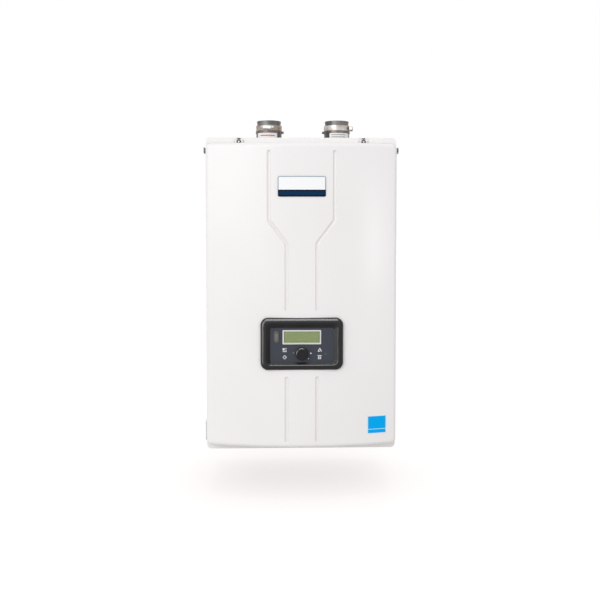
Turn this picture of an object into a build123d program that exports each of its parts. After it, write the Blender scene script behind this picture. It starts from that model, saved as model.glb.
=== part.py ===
from build123d import *
import math
import os

os.makedirs("parts", exist_ok=True)

# Frame: X to the right seen from the front, Y from the front to the wall, Z up.
# The origin is the middle of the footprint, at the level of the case's bottom rim.

# Driving dimensions of the heater
case_width = 432
case_height = 712
case_depth = 222
case_corner_radius = 9
cover_depth = 54
cover_top_gap = 15
cover_bottom_gap = 15
cover_side_inset = 1
control_proud = 8
bracket_depth = 12
sheet = 1.2

# Values that serve many pieces
overrun = 5
clearance = 0.3
bearing_clearance = 0.05

# Places worked out from the driving dimensions
total_depth = control_proud + cover_depth + case_depth + bracket_depth
knob_face_y = -total_depth / 2
cover_front_y = knob_face_y + control_proud
case_front_y = cover_front_y + cover_depth
case_back_y = case_front_y + case_depth
case_middle_y = (case_front_y + case_back_y) / 2
case_middle_z = case_height / 2
wall_y = case_back_y + bracket_depth
side_x = case_width / 2
inner_side_x = side_x - sheet
back_inner_y = case_back_y - sheet

pieces = {}


def front_plane(y, x=0, z=0):
    # A sketch plane that faces the front: local x is X and local y is Z
    return Plane(origin=(x, y, z), x_dir=(1, 0, 0), z_dir=(0, -1, 0))


def side_plane(x, y=0, z=0):
    # A sketch plane that faces the right side: local x is Y and local y is Z
    return Plane(origin=(x, y, z), x_dir=(0, 1, 0), z_dir=(1, 0, 0))


def level_plane(z, x=0, y=0):
    # A sketch plane that faces up
    return Plane(origin=(x, y, z), x_dir=(1, 0, 0), z_dir=(0, 0, 1))


# Case wrapper: one sheet wrapped round the sides, top and bottom, with a front flange
flange_overlap = 16
recess_side_rim = 30
recess_end_rim = 20
recess_width = case_width - 2 * recess_side_rim
recess_depth = case_depth - 2 * recess_end_rim
recess_corner_radius = 12
recess_height = 46
cover_bottom_z = cover_bottom_gap
cover_top_z = case_height - cover_top_gap
cover_middle_z = (cover_bottom_z + cover_top_z) / 2
cover_width = case_width - 2 * cover_side_inset
cover_height = cover_top_z - cover_bottom_z
front_opening_width = case_width - 2 * flange_overlap
front_opening_height = cover_height - 2 * flange_overlap

# Screws that hold the cover, in the strip above it
gasket_thickness = 2
cover_rear_y = case_front_y - gasket_thickness
cover_screw_spacing = 283
cover_screw_drop = 9.5
cover_screw_radius = 2
cover_screw_length = 10
cover_screw_head_radius = 4.8
cover_screw_head_height = 3
cover_screw_z = case_height - cover_screw_drop
screw_pad_width = 14
screw_pad_height = 8
slot_width = 8
slot_height = 2.2

# Louvres pressed into the left side, low down near the front
louvre_count = 9
louvre_spacing = 5.2
louvre_length = 46
louvre_height = 2.6
louvre_proud = 3.6
louvre_slit = 1
louvre_first_z = 20
louvre_front_gap = 2

# Vent collars on the top
vent_back_offset = 15
exhaust_x = -75
intake_x = 90
vent_y = case_middle_y + vent_back_offset
pipe_radius = 27
pipe_clearance = 0.25
collar_bore_radius = pipe_radius + pipe_clearance
collar_wall = 1.3
collar_body_wall = 3.4
collar_seat_drop = 0.3
collar_stub_length = 12
collar_flange_width = 11
collar_flange_thickness = 2.5
collar_seal_thickness = 1.5
collar_hole_clearance = 1
collar_height = 51.5
collar_bore_depth = 40
collar_lip_bottom = 22.3
collar_lip_height = 5.7
collar_lip_proud = 1.2
collar_rim_height = 3.5
collar_rim_proud = 0.5
collar_tab_length = 4
collar_tab_width = 3
collar_stop_wall = 4
collar_body_radius = collar_bore_radius + collar_body_wall
collar_neck_radius = collar_bore_radius + collar_wall
collar_seat_radius = collar_body_radius - collar_seat_drop
collar_flange_radius = collar_body_radius + collar_flange_width
collar_hole_radius = collar_body_radius + collar_hole_clearance
collar_flange_z = case_height + collar_seal_thickness
collar_stub_z = case_height - collar_stub_length
collar_top_z = case_height + collar_height
vent_screw_inset = 4.5
vent_screw_circle = collar_flange_radius - vent_screw_inset
vent_screw_count = 4
vent_screw_turn = 45

# Screws that hold the back panel and the vent flanges
case_screw_radius = 2
case_screw_head_radius = 4
case_screw_head_height = 2
case_screw_length = 7
case_screw_end_gap = 60
case_screw_rows = 3
panel_lip = 10
case_screw_y = case_back_y - panel_lip / 2
case_screw_spacing = (case_height - 2 * case_screw_end_gap) / (case_screw_rows - 1)

with BuildPart() as case_wrapper:
    with BuildSketch(front_plane(case_back_y, 0, case_middle_z)):
        RectangleRounded(case_width, case_height, case_corner_radius)
    extrude(amount=case_depth)
    with BuildSketch(front_plane(case_back_y + overrun, 0, case_middle_z)):
        RectangleRounded(case_width - 2 * sheet, case_height - 2 * sheet, case_corner_radius - sheet)
    extrude(amount=case_depth + overrun - sheet, mode=Mode.SUBTRACT)
    with BuildSketch(front_plane(case_front_y + overrun, 0, cover_middle_z)):
        RectangleRounded(front_opening_width, front_opening_height, case_corner_radius)
    extrude(amount=2 * overrun, mode=Mode.SUBTRACT)
    # Pads that the cover's tabs are screwed to
    with BuildSketch(front_plane(case_front_y, 0, cover_screw_z)):
        with GridLocations(cover_screw_spacing, 0, 2, 1):
            Rectangle(screw_pad_width, screw_pad_height)
    extrude(amount=gasket_thickness)
    with BuildSketch(front_plane(case_front_y + overrun, 0, cover_screw_z)):
        with GridLocations(cover_screw_spacing, 0, 2, 1):
            Circle(cover_screw_radius + clearance)
    extrude(amount=2 * overrun + gasket_thickness, mode=Mode.SUBTRACT)
    # Slots under the top front edge, one above each cover screw
    with BuildSketch(front_plane(case_front_y + overrun, 0, case_height - sheet - slot_height / 2)):
        with GridLocations(cover_screw_spacing, 0, 2, 1):
            Rectangle(slot_width, slot_height)
    extrude(amount=2 * overrun, mode=Mode.SUBTRACT)
    # Recess in the bottom, left open for the pipes
    with BuildSketch(level_plane(-overrun, 0, case_middle_y)):
        RectangleRounded(recess_width, recess_depth, recess_corner_radius)
    extrude(amount=sheet + 2 * overrun, mode=Mode.SUBTRACT)
    # Holes for the vent collars and their screws
    for vent_x in (exhaust_x, intake_x):
        with BuildSketch(level_plane(case_height - sheet - overrun, vent_x, vent_y)):
            Circle(collar_hole_radius)
            with PolarLocations(vent_screw_circle, vent_screw_count, vent_screw_turn):
                Circle(case_screw_radius + clearance)
        extrude(amount=sheet + 2 * overrun, mode=Mode.SUBTRACT)
    # Holes for the screws that hold the back panel
    with BuildSketch(side_plane(-side_x - overrun, case_screw_y, case_middle_z)):
        with GridLocations(0, case_screw_spacing, 1, case_screw_rows):
            Circle(case_screw_radius + clearance)
    extrude(amount=case_width + 2 * overrun, mode=Mode.SUBTRACT)
    # Louvres: pressed ribs with a slit under each
    louvre_middle_y = case_front_y + louvre_front_gap + louvre_length / 2
    louvre_middle_z = louvre_first_z + louvre_spacing * (louvre_count - 1) / 2
    with BuildSketch(side_plane(-side_x - louvre_proud, louvre_middle_y, louvre_middle_z)):
        with GridLocations(0, louvre_spacing, 1, louvre_count):
            Rectangle(louvre_length, louvre_height)
    extrude(amount=louvre_proud + sheet / 2)
    slit_middle_z = louvre_middle_z - louvre_height / 2 - louvre_slit / 2
    with BuildSketch(side_plane(-side_x - overrun, louvre_middle_y, slit_middle_z)):
        with GridLocations(0, louvre_spacing, 1, louvre_count):
            Rectangle(louvre_length - louvre_height, louvre_slit)
    extrude(amount=2 * overrun, mode=Mode.SUBTRACT)
pieces["case_wrapper"] = case_wrapper

# Back panel: a shallow pan set into the back of the wrapper
panel_gap = 0.1
panel_width = case_width - 2 * sheet - 2 * panel_gap
panel_height = case_height - 2 * sheet - 2 * panel_gap
panel_corner_radius = case_corner_radius - sheet - panel_gap
with BuildPart() as back_panel:
    with BuildSketch(front_plane(case_back_y, 0, case_middle_z)):
        RectangleRounded(panel_width, panel_height, panel_corner_radius)
    extrude(amount=panel_lip)
    with BuildSketch(front_plane(back_inner_y, 0, case_middle_z)):
        RectangleRounded(panel_width - 2 * sheet, panel_height - 2 * sheet, panel_corner_radius - sheet)
    extrude(amount=panel_lip + overrun, mode=Mode.SUBTRACT)
    with BuildSketch(side_plane(-side_x - overrun, case_screw_y, case_middle_z)):
        with GridLocations(0, case_screw_spacing, 1, case_screw_rows):
            Circle(case_screw_radius + clearance)
    extrude(amount=case_width + 2 * overrun, mode=Mode.SUBTRACT)
pieces["back_panel"] = back_panel

# Case screws: three down each side and four round each vent flange
with BuildPart() as case_screws:
    for side in (-1, 1):
        head_plane = Plane(
            origin=(side * side_x, case_screw_y, case_middle_z), x_dir=(0, 1, 0), z_dir=(side, 0, 0)
        )
        with BuildSketch(head_plane):
            with GridLocations(0, case_screw_spacing, 1, case_screw_rows):
                Circle(case_screw_head_radius)
        extrude(amount=case_screw_head_height)
        with BuildSketch(head_plane):
            with GridLocations(0, case_screw_spacing, 1, case_screw_rows):
                Circle(case_screw_radius)
        extrude(amount=-case_screw_length)
    vent_screw_z = collar_flange_z + collar_flange_thickness
    for vent_x in (exhaust_x, intake_x):
        with BuildSketch(level_plane(vent_screw_z, vent_x, vent_y)):
            with PolarLocations(vent_screw_circle, vent_screw_count, vent_screw_turn):
                Circle(case_screw_head_radius)
        extrude(amount=case_screw_head_height)
        with BuildSketch(level_plane(vent_screw_z, vent_x, vent_y)):
            with PolarLocations(vent_screw_circle, vent_screw_count, vent_screw_turn):
                Circle(case_screw_radius)
        extrude(amount=-case_screw_length)
pieces["case_screws"] = case_screws

# Fittings in the bottom tray
fitting_y = case_middle_y
cold_x = 80
hot_x = -60
gas_x = 150
gland_wall_gap = 26
gland_x = gland_wall_gap - recess_width / 2
trap_x = -130
trap_y_offset = 50
trap_y = case_middle_y + trap_y_offset
thread_radius = 13.2
thread_length = 18
fitting_flange_radius = 21
fitting_flange_thickness = 3
fitting_body_radius = 14.5
fitting_body_height = 16
fitting_bore_radius = 9
drain_radius = 8
drain_bore_radius = 5.5
gland_thread_radius = 8
gland_nut_radius = 12
gland_nut_height = 9
gland_bore_radius = 4.5
tray_flange = 8
tray_floor_z = recess_height
tray_top_z = tray_floor_z + sheet
fitting_top_z = tray_top_z + fitting_body_height

# Bottom tray: an upturned pan over the recess
with BuildPart() as bottom_tray:
    with BuildSketch(level_plane(sheet, 0, case_middle_y)):
        RectangleRounded(
            recess_width + 2 * tray_flange,
            recess_depth + 2 * tray_flange,
            recess_corner_radius + tray_flange,
        )
    extrude(amount=sheet)
    with BuildSketch(level_plane(sheet, 0, case_middle_y)):
        RectangleRounded(recess_width + 2 * sheet, recess_depth + 2 * sheet, recess_corner_radius + sheet)
    extrude(amount=recess_height)
    with BuildSketch(level_plane(-overrun, 0, case_middle_y)):
        RectangleRounded(recess_width, recess_depth, recess_corner_radius)
    extrude(amount=recess_height + overrun, mode=Mode.SUBTRACT)
    with BuildSketch(level_plane(tray_floor_z - overrun)):
        with Locations((cold_x, fitting_y), (hot_x, fitting_y), (gas_x, fitting_y)):
            Circle(fitting_body_radius + clearance)
        with Locations((gland_x, fitting_y)):
            Circle(gland_thread_radius + clearance)
        with Locations((trap_x, trap_y)):
            Circle(drain_radius + clearance)
    extrude(amount=sheet + 2 * overrun, mode=Mode.SUBTRACT)
pieces["bottom_tray"] = bottom_tray

# Wall brackets: Z-shaped strips across the back
bracket_width = 340
bracket_thickness = 2
bracket_case_leg = 34
upper_leg_top = 22
upper_web_drop = 24
bracket_hole_radius = 3.5
bracket_hole_spacing = 100
bracket_hole_count = 4
bracket_hole_edge = 12
upper_bracket_top_z = case_height + upper_leg_top
upper_web_z = case_height - upper_web_drop
with BuildPart() as upper_wall_bracket:
    with BuildSketch(side_plane(-bracket_width / 2)):
        with BuildLine():
            Polyline(
                (case_back_y, upper_web_z - bracket_case_leg),
                (case_back_y + bracket_thickness, upper_web_z - bracket_case_leg),
                (case_back_y + bracket_thickness, upper_web_z - bracket_thickness),
                (wall_y, upper_web_z - bracket_thickness),
                (wall_y, upper_bracket_top_z),
                (wall_y - bracket_thickness, upper_bracket_top_z),
                (wall_y - bracket_thickness, upper_web_z),
                (case_back_y, upper_web_z),
                close=True,
            )
        make_face()
    extrude(amount=bracket_width)
    with BuildSketch(front_plane(wall_y + overrun, 0, upper_bracket_top_z - bracket_hole_edge)):
        with GridLocations(bracket_hole_spacing, 0, bracket_hole_count, 1):
            Circle(bracket_hole_radius)
    extrude(amount=bracket_thickness + 2 * overrun, mode=Mode.SUBTRACT)
pieces["upper_wall_bracket"] = upper_wall_bracket

lower_leg_bottom_z = 8
lower_web_z = 48
lower_slot_height = 18
with BuildPart() as lower_wall_bracket:
    with BuildSketch(side_plane(-bracket_width / 2)):
        with BuildLine():
            Polyline(
                (wall_y, lower_leg_bottom_z),
                (wall_y, lower_web_z),
                (case_back_y + bracket_thickness, lower_web_z),
                (case_back_y + bracket_thickness, lower_web_z + bracket_case_leg),
                (case_back_y, lower_web_z + bracket_case_leg),
                (case_back_y, lower_web_z - bracket_thickness),
                (wall_y - bracket_thickness, lower_web_z - bracket_thickness),
                (wall_y - bracket_thickness, lower_leg_bottom_z),
                close=True,
            )
        make_face()
    extrude(amount=bracket_width)
    # Slots, open at the bottom, that drop over two screws in the wall
    with BuildSketch(front_plane(wall_y + overrun, 0, lower_leg_bottom_z)):
        with GridLocations(bracket_hole_spacing * (bracket_hole_count - 1), 0, 2, 1):
            Rectangle(2 * bracket_hole_radius, 2 * lower_slot_height)
        with GridLocations(bracket_hole_spacing * (bracket_hole_count - 1), 0, 2, 1):
            with Locations((0, lower_slot_height)):
                Circle(bracket_hole_radius)
    extrude(amount=bracket_thickness + overrun + clearance, mode=Mode.SUBTRACT)
pieces["lower_wall_bracket"] = lower_wall_bracket

# Front cover: a bowed pan with four pressed grooves
cover_bow_radius = 820
cover_corner_radius = 13
cover_edge_radius = 10
cover_hem = 12
gasket_inset = 2.4
hem_opening_width = cover_width - 2 * cover_hem
hem_opening_height = cover_height - 2 * cover_hem
hem_corner_radius = cover_corner_radius - sheet
groove_width = 9
groove_depth = 2.8
groove_radius = ((groove_width / 2) ** 2 + groove_depth ** 2) / (2 * groove_depth)
groove_outer_x = 73.2
groove_inner_x = 34.1
groove_top_gap = 21.5
groove_upper_bend = 509.5
groove_lower_bend = 458
groove_upper_end = 312
groove_lower_start = 157
groove_bottom_gap = 17.5
groove_bend_radius = 14
tab_width = 18
tab_rise = 10.5

# Control unit sizes that the cover's opening follows
control_rise = 235
panel_drop = 3
fascia_width = 148
fascia_height = 84
bezel_border_width = 18
bezel_border_height = 16.5
bezel_width = fascia_width + 2 * bezel_border_width
bezel_height = fascia_height + 2 * bezel_border_height
bezel_corner_radius = 17
bezel_lap = 15
skirt_gap = 0.5
skirt_corner_radius = 6
control_z = cover_bottom_z + control_rise
panel_z = control_z - panel_drop
skirt_width = bezel_width - 2 * bezel_lap
skirt_height = bezel_height - 2 * bezel_lap


def bow_y(x):
    # Where the bowed front is at this distance from the middle
    return cover_front_y + cover_bow_radius - math.sqrt(cover_bow_radius ** 2 - x ** 2)


def bowed_block(inset):
    # The cover's outer form, drawn in by inset on every side, or grown where inset is below zero
    rear_y = cover_rear_y - inset
    with BuildPart() as block:
        with BuildSketch(front_plane(rear_y, 0, cover_middle_z)):
            RectangleRounded(
                cover_width - 2 * inset, cover_height - 2 * inset, cover_corner_radius - inset
            )
        extrude(amount=cover_depth + overrun)
        with BuildSketch(level_plane(cover_bottom_z - overrun, 0, cover_front_y + cover_bow_radius)):
            Circle(cover_bow_radius - inset)
        extrude(amount=cover_height + 2 * overrun, mode=Mode.INTERSECT)
        front_face = block.faces().sort_by(Axis.Y)[0]
        fillet(front_face.edges(), radius=cover_edge_radius - inset)
    return block.part


def groove_bars(radius):
    # Round bars that run along every groove, part sunk in the bowed front, with ball ends
    outer_y = bow_y(groove_outer_x) + groove_depth - groove_radius
    inner_y = bow_y(groove_inner_x) + groove_depth - groove_radius
    top_z = cover_top_z - groove_top_gap
    upper_bend_z = cover_bottom_z + groove_upper_bend
    lower_bend_z = cover_bottom_z + groove_lower_bend
    upper_end_z = cover_bottom_z + groove_upper_end
    lower_start_z = cover_bottom_z + groove_lower_start
    bottom_z = cover_bottom_z + groove_bottom_gap
    across = math.hypot(groove_outer_x - groove_inner_x, outer_y - inner_y)
    with BuildPart() as bars:
        for side in (-1, 1):
            inward = (side * (groove_inner_x - groove_outer_x), inner_y - outer_y, 0)
            path_plane = Plane(
                origin=(side * groove_outer_x, outer_y, 0),
                x_dir=inward,
                z_dir=(inward[1], -inward[0], 0),
            )
            with BuildLine(path_plane):
                FilletPolyline(
                    (0, top_z),
                    (0, upper_bend_z),
                    (across, lower_bend_z),
                    (across, upper_end_z),
                    radius=groove_bend_radius,
                )
            with BuildSketch(level_plane(top_z, side * groove_outer_x, outer_y)):
                Circle(radius)
            sweep()
            with BuildSketch(level_plane(bottom_z, side * groove_inner_x, inner_y)):
                Circle(radius)
            extrude(amount=lower_start_z - bottom_z)
            for ball_place in (
                (side * groove_outer_x, outer_y, top_z),
                (side * groove_inner_x, inner_y, upper_end_z),
                (side * groove_inner_x, inner_y, lower_start_z),
                (side * groove_inner_x, inner_y, bottom_z),
            ):
                with Locations(ball_place):
                    Sphere(radius)
    return bars.part


groove_start_y = (cover_front_y + cover_rear_y) / 2

with BuildPart() as cover_cavity:
    add(bowed_block(sheet))
    add(groove_bars(groove_radius + sheet), mode=Mode.SUBTRACT)

with BuildPart() as front_cover:
    add(bowed_block(0))
    add(groove_bars(groove_radius), mode=Mode.SUBTRACT)
    add(cover_cavity.part, mode=Mode.SUBTRACT)
    with BuildSketch(front_plane(cover_rear_y + overrun, 0, cover_middle_z)):
        RectangleRounded(hem_opening_width, hem_opening_height, hem_corner_radius)
    extrude(amount=2 * overrun, mode=Mode.SUBTRACT)
    with BuildSketch(front_plane(groove_start_y, 0, panel_z)):
        RectangleRounded(
            skirt_width + 2 * skirt_gap, skirt_height + 2 * skirt_gap, skirt_corner_radius + skirt_gap
        )
    extrude(amount=cover_depth, mode=Mode.SUBTRACT)
    # Two tabs that stand up from the rear edge and take the cover screws
    with BuildSketch(front_plane(cover_rear_y, 0, cover_top_z - sheet)):
        with GridLocations(cover_screw_spacing, 0, 2, 1):
            Rectangle(tab_width, tab_rise + sheet, align=(Align.CENTER, Align.MIN))
    extrude(amount=sheet)
    with BuildSketch(front_plane(cover_rear_y + overrun, 0, cover_screw_z)):
        with GridLocations(cover_screw_spacing, 0, 2, 1):
            Circle(cover_screw_radius + clearance)
    extrude(amount=2 * overrun + sheet, mode=Mode.SUBTRACT)
pieces["front_cover"] = front_cover

# Foam gasket between the cover's hem and the case's front flange
with BuildPart() as cover_gasket:
    with BuildSketch(front_plane(case_front_y, 0, cover_middle_z)):
        RectangleRounded(
            cover_width - 2 * gasket_inset,
            cover_height - 2 * gasket_inset,
            cover_corner_radius - gasket_inset,
        )
        RectangleRounded(hem_opening_width, hem_opening_height, hem_corner_radius, mode=Mode.SUBTRACT)
    extrude(amount=gasket_thickness)
pieces["cover_gasket"] = cover_gasket

with BuildPart() as cover_screws:
    with BuildSketch(front_plane(cover_rear_y - sheet, 0, cover_screw_z)):
        with GridLocations(cover_screw_spacing, 0, 2, 1):
            Circle(cover_screw_head_radius)
    extrude(amount=cover_screw_head_height)
    fillet(cover_screws.faces().sort_by(Axis.Y)[:2].edges(), radius=cover_screw_head_height / 2)
    with BuildSketch(front_plane(cover_rear_y - sheet, 0, cover_screw_z)):
        with GridLocations(cover_screw_spacing, 0, 2, 1):
            Circle(cover_screw_radius)
    extrude(amount=-cover_screw_length)
    # Cross recess in each head
    cross_length = cover_screw_head_radius
    cross_width = cover_screw_head_radius / 4
    cross_depth = cover_screw_head_height / 2
    cross_floor_y = cover_rear_y - sheet - cover_screw_head_height + cross_depth
    with BuildSketch(front_plane(cross_floor_y, 0, cover_screw_z)):
        with GridLocations(cover_screw_spacing, 0, 2, 1):
            Rectangle(cross_length, cross_width)
            Rectangle(cross_width, cross_length)
    extrude(amount=overrun, mode=Mode.SUBTRACT)
pieces["cover_screws"] = cover_screws

# Badge plate and corner label: thin pieces that follow the bowed front
badge_width = 106
badge_height = 45
badge_corner_radius = 3.5
badge_thickness = 1.2
badge_rise = 584.5
corner_label_width = 43
corner_label_height = 40
corner_label_side_gap = 23.5
corner_label_rise = 48.5
corner_label_thickness = 0.3
corner_label_x = cover_width / 2 - corner_label_side_gap - corner_label_width / 2

with BuildPart() as badge_plate:
    with BuildSketch(front_plane(groove_start_y, 0, cover_bottom_z + badge_rise)):
        RectangleRounded(badge_width, badge_height, badge_corner_radius)
    extrude(amount=cover_depth)
    add(bowed_block(-badge_thickness), mode=Mode.INTERSECT)
    add(bowed_block(0), mode=Mode.SUBTRACT)
pieces["badge_plate"] = badge_plate

with BuildPart() as corner_label:
    with BuildSketch(front_plane(cover_rear_y, corner_label_x, cover_bottom_z + corner_label_rise)):
        Rectangle(corner_label_width, corner_label_height)
    extrude(amount=cover_depth)
    add(bowed_block(-corner_label_thickness), mode=Mode.INTERSECT)
    add(bowed_block(0), mode=Mode.SUBTRACT)
pieces["corner_label"] = corner_label

# Side latches: over-centre levers with wire bails that hook on keepers
latch_z = 682
latch_plate_height = 15
latch_plate_thickness = 1
latch_pivot_height = 2.9
latch_pivot_setback = 6
latch_plate_front = 4
latch_plate_rear = 12
latch_pin_radius = 0.9
latch_barrel_radius = 1.7
latch_ear_inner = 3.2
latch_ear_outer = 4.2
latch_narrow_half = 2.9
latch_wide_half = 4.5
latch_lever_length = 26
latch_lever_thickness = 1.2
latch_tip_radius = 1.2
latch_throw = 4
bail_wire_radius = 0.8
bail_half_height = 6
bail_reach = 24
bail_inner_end = 3.1
keeper_thickness = 1.2
keeper_half_height = 4
keeper_plate_length = 8
keeper_rise = 3
latch_pivot_y = case_front_y + latch_pivot_setback
bail_pivot_y = latch_pivot_y + latch_throw
bail_front_y = bail_pivot_y - bail_reach
latch_pivot_x = side_x + latch_pivot_height
keeper_tab_y = bail_front_y + bail_wire_radius + clearance


def upright_cylinder(x, y, low_z, high_z, radius):
    # A solid round bar along Z
    with BuildPart() as bar:
        with BuildSketch(level_plane(low_z, x, y)):
            Circle(radius)
        extrude(amount=high_z - low_z)
    return bar.part


def plain_box(low, high):
    # A box between two corners
    with BuildPart() as box:
        with BuildSketch(level_plane(low[2], (low[0] + high[0]) / 2, (low[1] + high[1]) / 2)):
            Rectangle(high[0] - low[0], high[1] - low[1])
        extrude(amount=high[2] - low[2])
    return box.part


with BuildPart() as latch_base_right:
    plate_low = (side_x, latch_pivot_y - latch_plate_front, latch_z - latch_plate_height / 2)
    plate_high = (
        side_x + latch_plate_thickness,
        latch_pivot_y + latch_plate_rear,
        latch_z + latch_plate_height / 2,
    )
    add(plain_box(plate_low, plate_high))
    for side in (-1, 1):
        ear_low_z = latch_z + min(side * latch_ear_inner, side * latch_ear_outer)
        ear_high_z = latch_z + max(side * latch_ear_inner, side * latch_ear_outer)
        ear_low = (side_x, latch_pivot_y - latch_barrel_radius, ear_low_z)
        ear_high = (latch_pivot_x, latch_pivot_y + latch_barrel_radius, ear_high_z)
        add(plain_box(ear_low, ear_high))
        add(upright_cylinder(latch_pivot_x, latch_pivot_y, ear_low_z, ear_high_z, latch_barrel_radius))
    pin_low_z = latch_z - latch_ear_outer
    pin_high_z = latch_z + latch_ear_outer
    add(upright_cylinder(latch_pivot_x, latch_pivot_y, pin_low_z, pin_high_z, latch_pin_radius))
pieces["latch_base_right"] = latch_base_right

with BuildPart() as latch_keeper_right:
    keeper_low_z = latch_z - keeper_half_height
    keeper_high_z = latch_z + keeper_half_height
    keeper_plate_x = side_x + latch_plate_thickness
    keeper_low = (cover_width / 2, keeper_tab_y, keeper_low_z)
    add(plain_box(keeper_low, (keeper_plate_x, keeper_tab_y + keeper_plate_length, keeper_high_z)))
    keeper_tab_high = (keeper_plate_x + keeper_rise, keeper_tab_y + keeper_thickness, keeper_high_z)
    add(plain_box(keeper_low, keeper_tab_high))
pieces["latch_keeper_right"] = latch_keeper_right

with BuildPart() as latch_lever_right:
    lever_low_x = latch_pivot_x - latch_lever_thickness / 2
    lever_high_x = latch_pivot_x + latch_lever_thickness / 2
    lever_end_y = latch_pivot_y + latch_lever_length
    neck_end_y = bail_pivot_y - latch_barrel_radius
    narrow_low_z = latch_z - latch_narrow_half
    narrow_high_z = latch_z + latch_narrow_half
    wide_low_z = latch_z - latch_wide_half
    wide_high_z = latch_z + latch_wide_half
    add(plain_box((lever_low_x, latch_pivot_y, narrow_low_z), (lever_high_x, lever_end_y, narrow_high_z)))
    add(plain_box((lever_low_x, neck_end_y, wide_low_z), (lever_high_x, lever_end_y, wide_high_z)))
    add(upright_cylinder(latch_pivot_x, latch_pivot_y, narrow_low_z, narrow_high_z, latch_barrel_radius))
    add(upright_cylinder(latch_pivot_x, bail_pivot_y, wide_low_z, wide_high_z, latch_barrel_radius))
    add(upright_cylinder(latch_pivot_x, lever_end_y, wide_low_z, wide_high_z, latch_tip_radius))
    bore_low_z = latch_z - latch_wide_half - overrun
    bore_high_z = latch_z + latch_wide_half + overrun
    add(upright_cylinder(
        latch_pivot_x, latch_pivot_y, bore_low_z, bore_high_z, latch_pin_radius + bearing_clearance
    ), mode=Mode.SUBTRACT)
    add(upright_cylinder(
        latch_pivot_x, bail_pivot_y, bore_low_z, bore_high_z, bail_wire_radius + bearing_clearance
    ), mode=Mode.SUBTRACT)
pieces["latch_lever_right"] = latch_lever_right

# The bail's bend radius keeps its round wire clear of a pinched inner side
bail_bend_radius = 1.6
with BuildPart() as latch_bail_right:
    with BuildLine(side_plane(latch_pivot_x)) as bail_path:
        FilletPolyline(
            (bail_pivot_y, latch_z + bail_inner_end),
            (bail_pivot_y, latch_z + bail_half_height),
            (bail_front_y, latch_z + bail_half_height),
            (bail_front_y, latch_z - bail_half_height),
            (bail_pivot_y, latch_z - bail_half_height),
            (bail_pivot_y, latch_z - bail_inner_end),
            radius=bail_bend_radius,
        )
    with BuildSketch(level_plane(latch_z + bail_inner_end, latch_pivot_x, bail_pivot_y)):
        Circle(bail_wire_radius)
    sweep()
pieces["latch_bail_right"] = latch_bail_right

for latch_name in ("latch_base", "latch_keeper", "latch_lever", "latch_bail"):
    with BuildPart() as left_piece:
        mirror(pieces[latch_name + "_right"].part, about=Plane.YZ)
    pieces[latch_name + "_left"] = left_piece

# Vent seals: flat rubber rings under the collar flanges
with BuildPart() as vent_seals:
    for vent_x in (exhaust_x, intake_x):
        with BuildSketch(level_plane(case_height, vent_x, vent_y)):
            Circle(collar_flange_radius)
            Circle(collar_hole_radius, mode=Mode.SUBTRACT)
            with PolarLocations(vent_screw_circle, vent_screw_count, vent_screw_turn):
                Circle(case_screw_radius + clearance, mode=Mode.SUBTRACT)
        extrude(amount=collar_seal_thickness)
pieces["vent_seals"] = vent_seals

# Clamp bands sit between the lip and the rim of each collar
band_width = 12.2
band_thickness = 0.9
band_seat_gap = 0.05
worm_housing_length = 19
worm_housing_height = 10
worm_housing_proud = 7
worm_screw_radius = 3
worm_screw_length = 26
worm_head_radius = 4.2
worm_head_height = 5
lip_top_z = case_height + collar_lip_bottom + collar_lip_height
band_low_z = lip_top_z + clearance
band_middle_z = band_low_z + band_width / 2
seat_top_z = band_low_z + band_width
band_inner_radius = collar_seat_radius + band_seat_gap
band_outer_radius = band_inner_radius + band_thickness
worm_axis_radius = band_outer_radius + worm_housing_proud / 2


def vent_collar(vent_x, tab_side):
    # A flanged tube with a pipe stop, a lip under the clamp seat, a narrower neck and a small side tab
    lip_bottom_z = case_height + collar_lip_bottom
    stop_z = collar_top_z - collar_bore_depth
    stop_radius = collar_body_radius - collar_stop_wall
    rim_z = collar_top_z - collar_rim_height
    rim_radius = collar_neck_radius + collar_rim_proud
    with BuildPart() as collar:
        with BuildSketch(Plane(origin=(vent_x, vent_y, 0), x_dir=(1, 0, 0), z_dir=(0, -1, 0))):
            with BuildLine():
                Polyline(
                    (stop_radius, collar_stub_z),
                    (collar_body_radius, collar_stub_z),
                    (collar_body_radius, collar_flange_z),
                    (collar_flange_radius, collar_flange_z),
                    (collar_flange_radius, collar_flange_z + collar_flange_thickness),
                    (collar_body_radius, collar_flange_z + collar_flange_thickness),
                    (collar_body_radius, lip_bottom_z),
                    (collar_body_radius + collar_lip_proud, lip_bottom_z),
                    (collar_body_radius + collar_lip_proud, lip_top_z),
                    (collar_seat_radius, lip_top_z),
                    (collar_seat_radius, seat_top_z),
                    (collar_neck_radius, seat_top_z),
                    (collar_neck_radius, rim_z),
                    (rim_radius, rim_z),
                    (rim_radius, collar_top_z),
                    (collar_bore_radius, collar_top_z),
                    (collar_bore_radius, stop_z),
                    (stop_radius, stop_z),
                    close=True,
                )
            make_face()
        revolve(axis=Axis((vent_x, vent_y, 0), (0, 0, 1)))
        tab_radius = collar_body_radius + collar_lip_proud
        tab_middle_x = vent_x + tab_side * (tab_radius + collar_tab_length / 2 - collar_body_wall / 2)
        with BuildSketch(level_plane(lip_top_z, tab_middle_x, vent_y)):
            Rectangle(collar_tab_length + collar_body_wall, collar_tab_width)
        extrude(amount=-collar_lip_height)
        with BuildSketch(level_plane(collar_flange_z - overrun, vent_x, vent_y)):
            with PolarLocations(vent_screw_circle, vent_screw_count, vent_screw_turn):
                Circle(case_screw_radius + clearance)
        extrude(amount=collar_flange_thickness + 2 * overrun, mode=Mode.SUBTRACT)
    return collar


pieces["exhaust_collar"] = vent_collar(exhaust_x, 1)
pieces["intake_collar"] = vent_collar(intake_x, -1)


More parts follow.
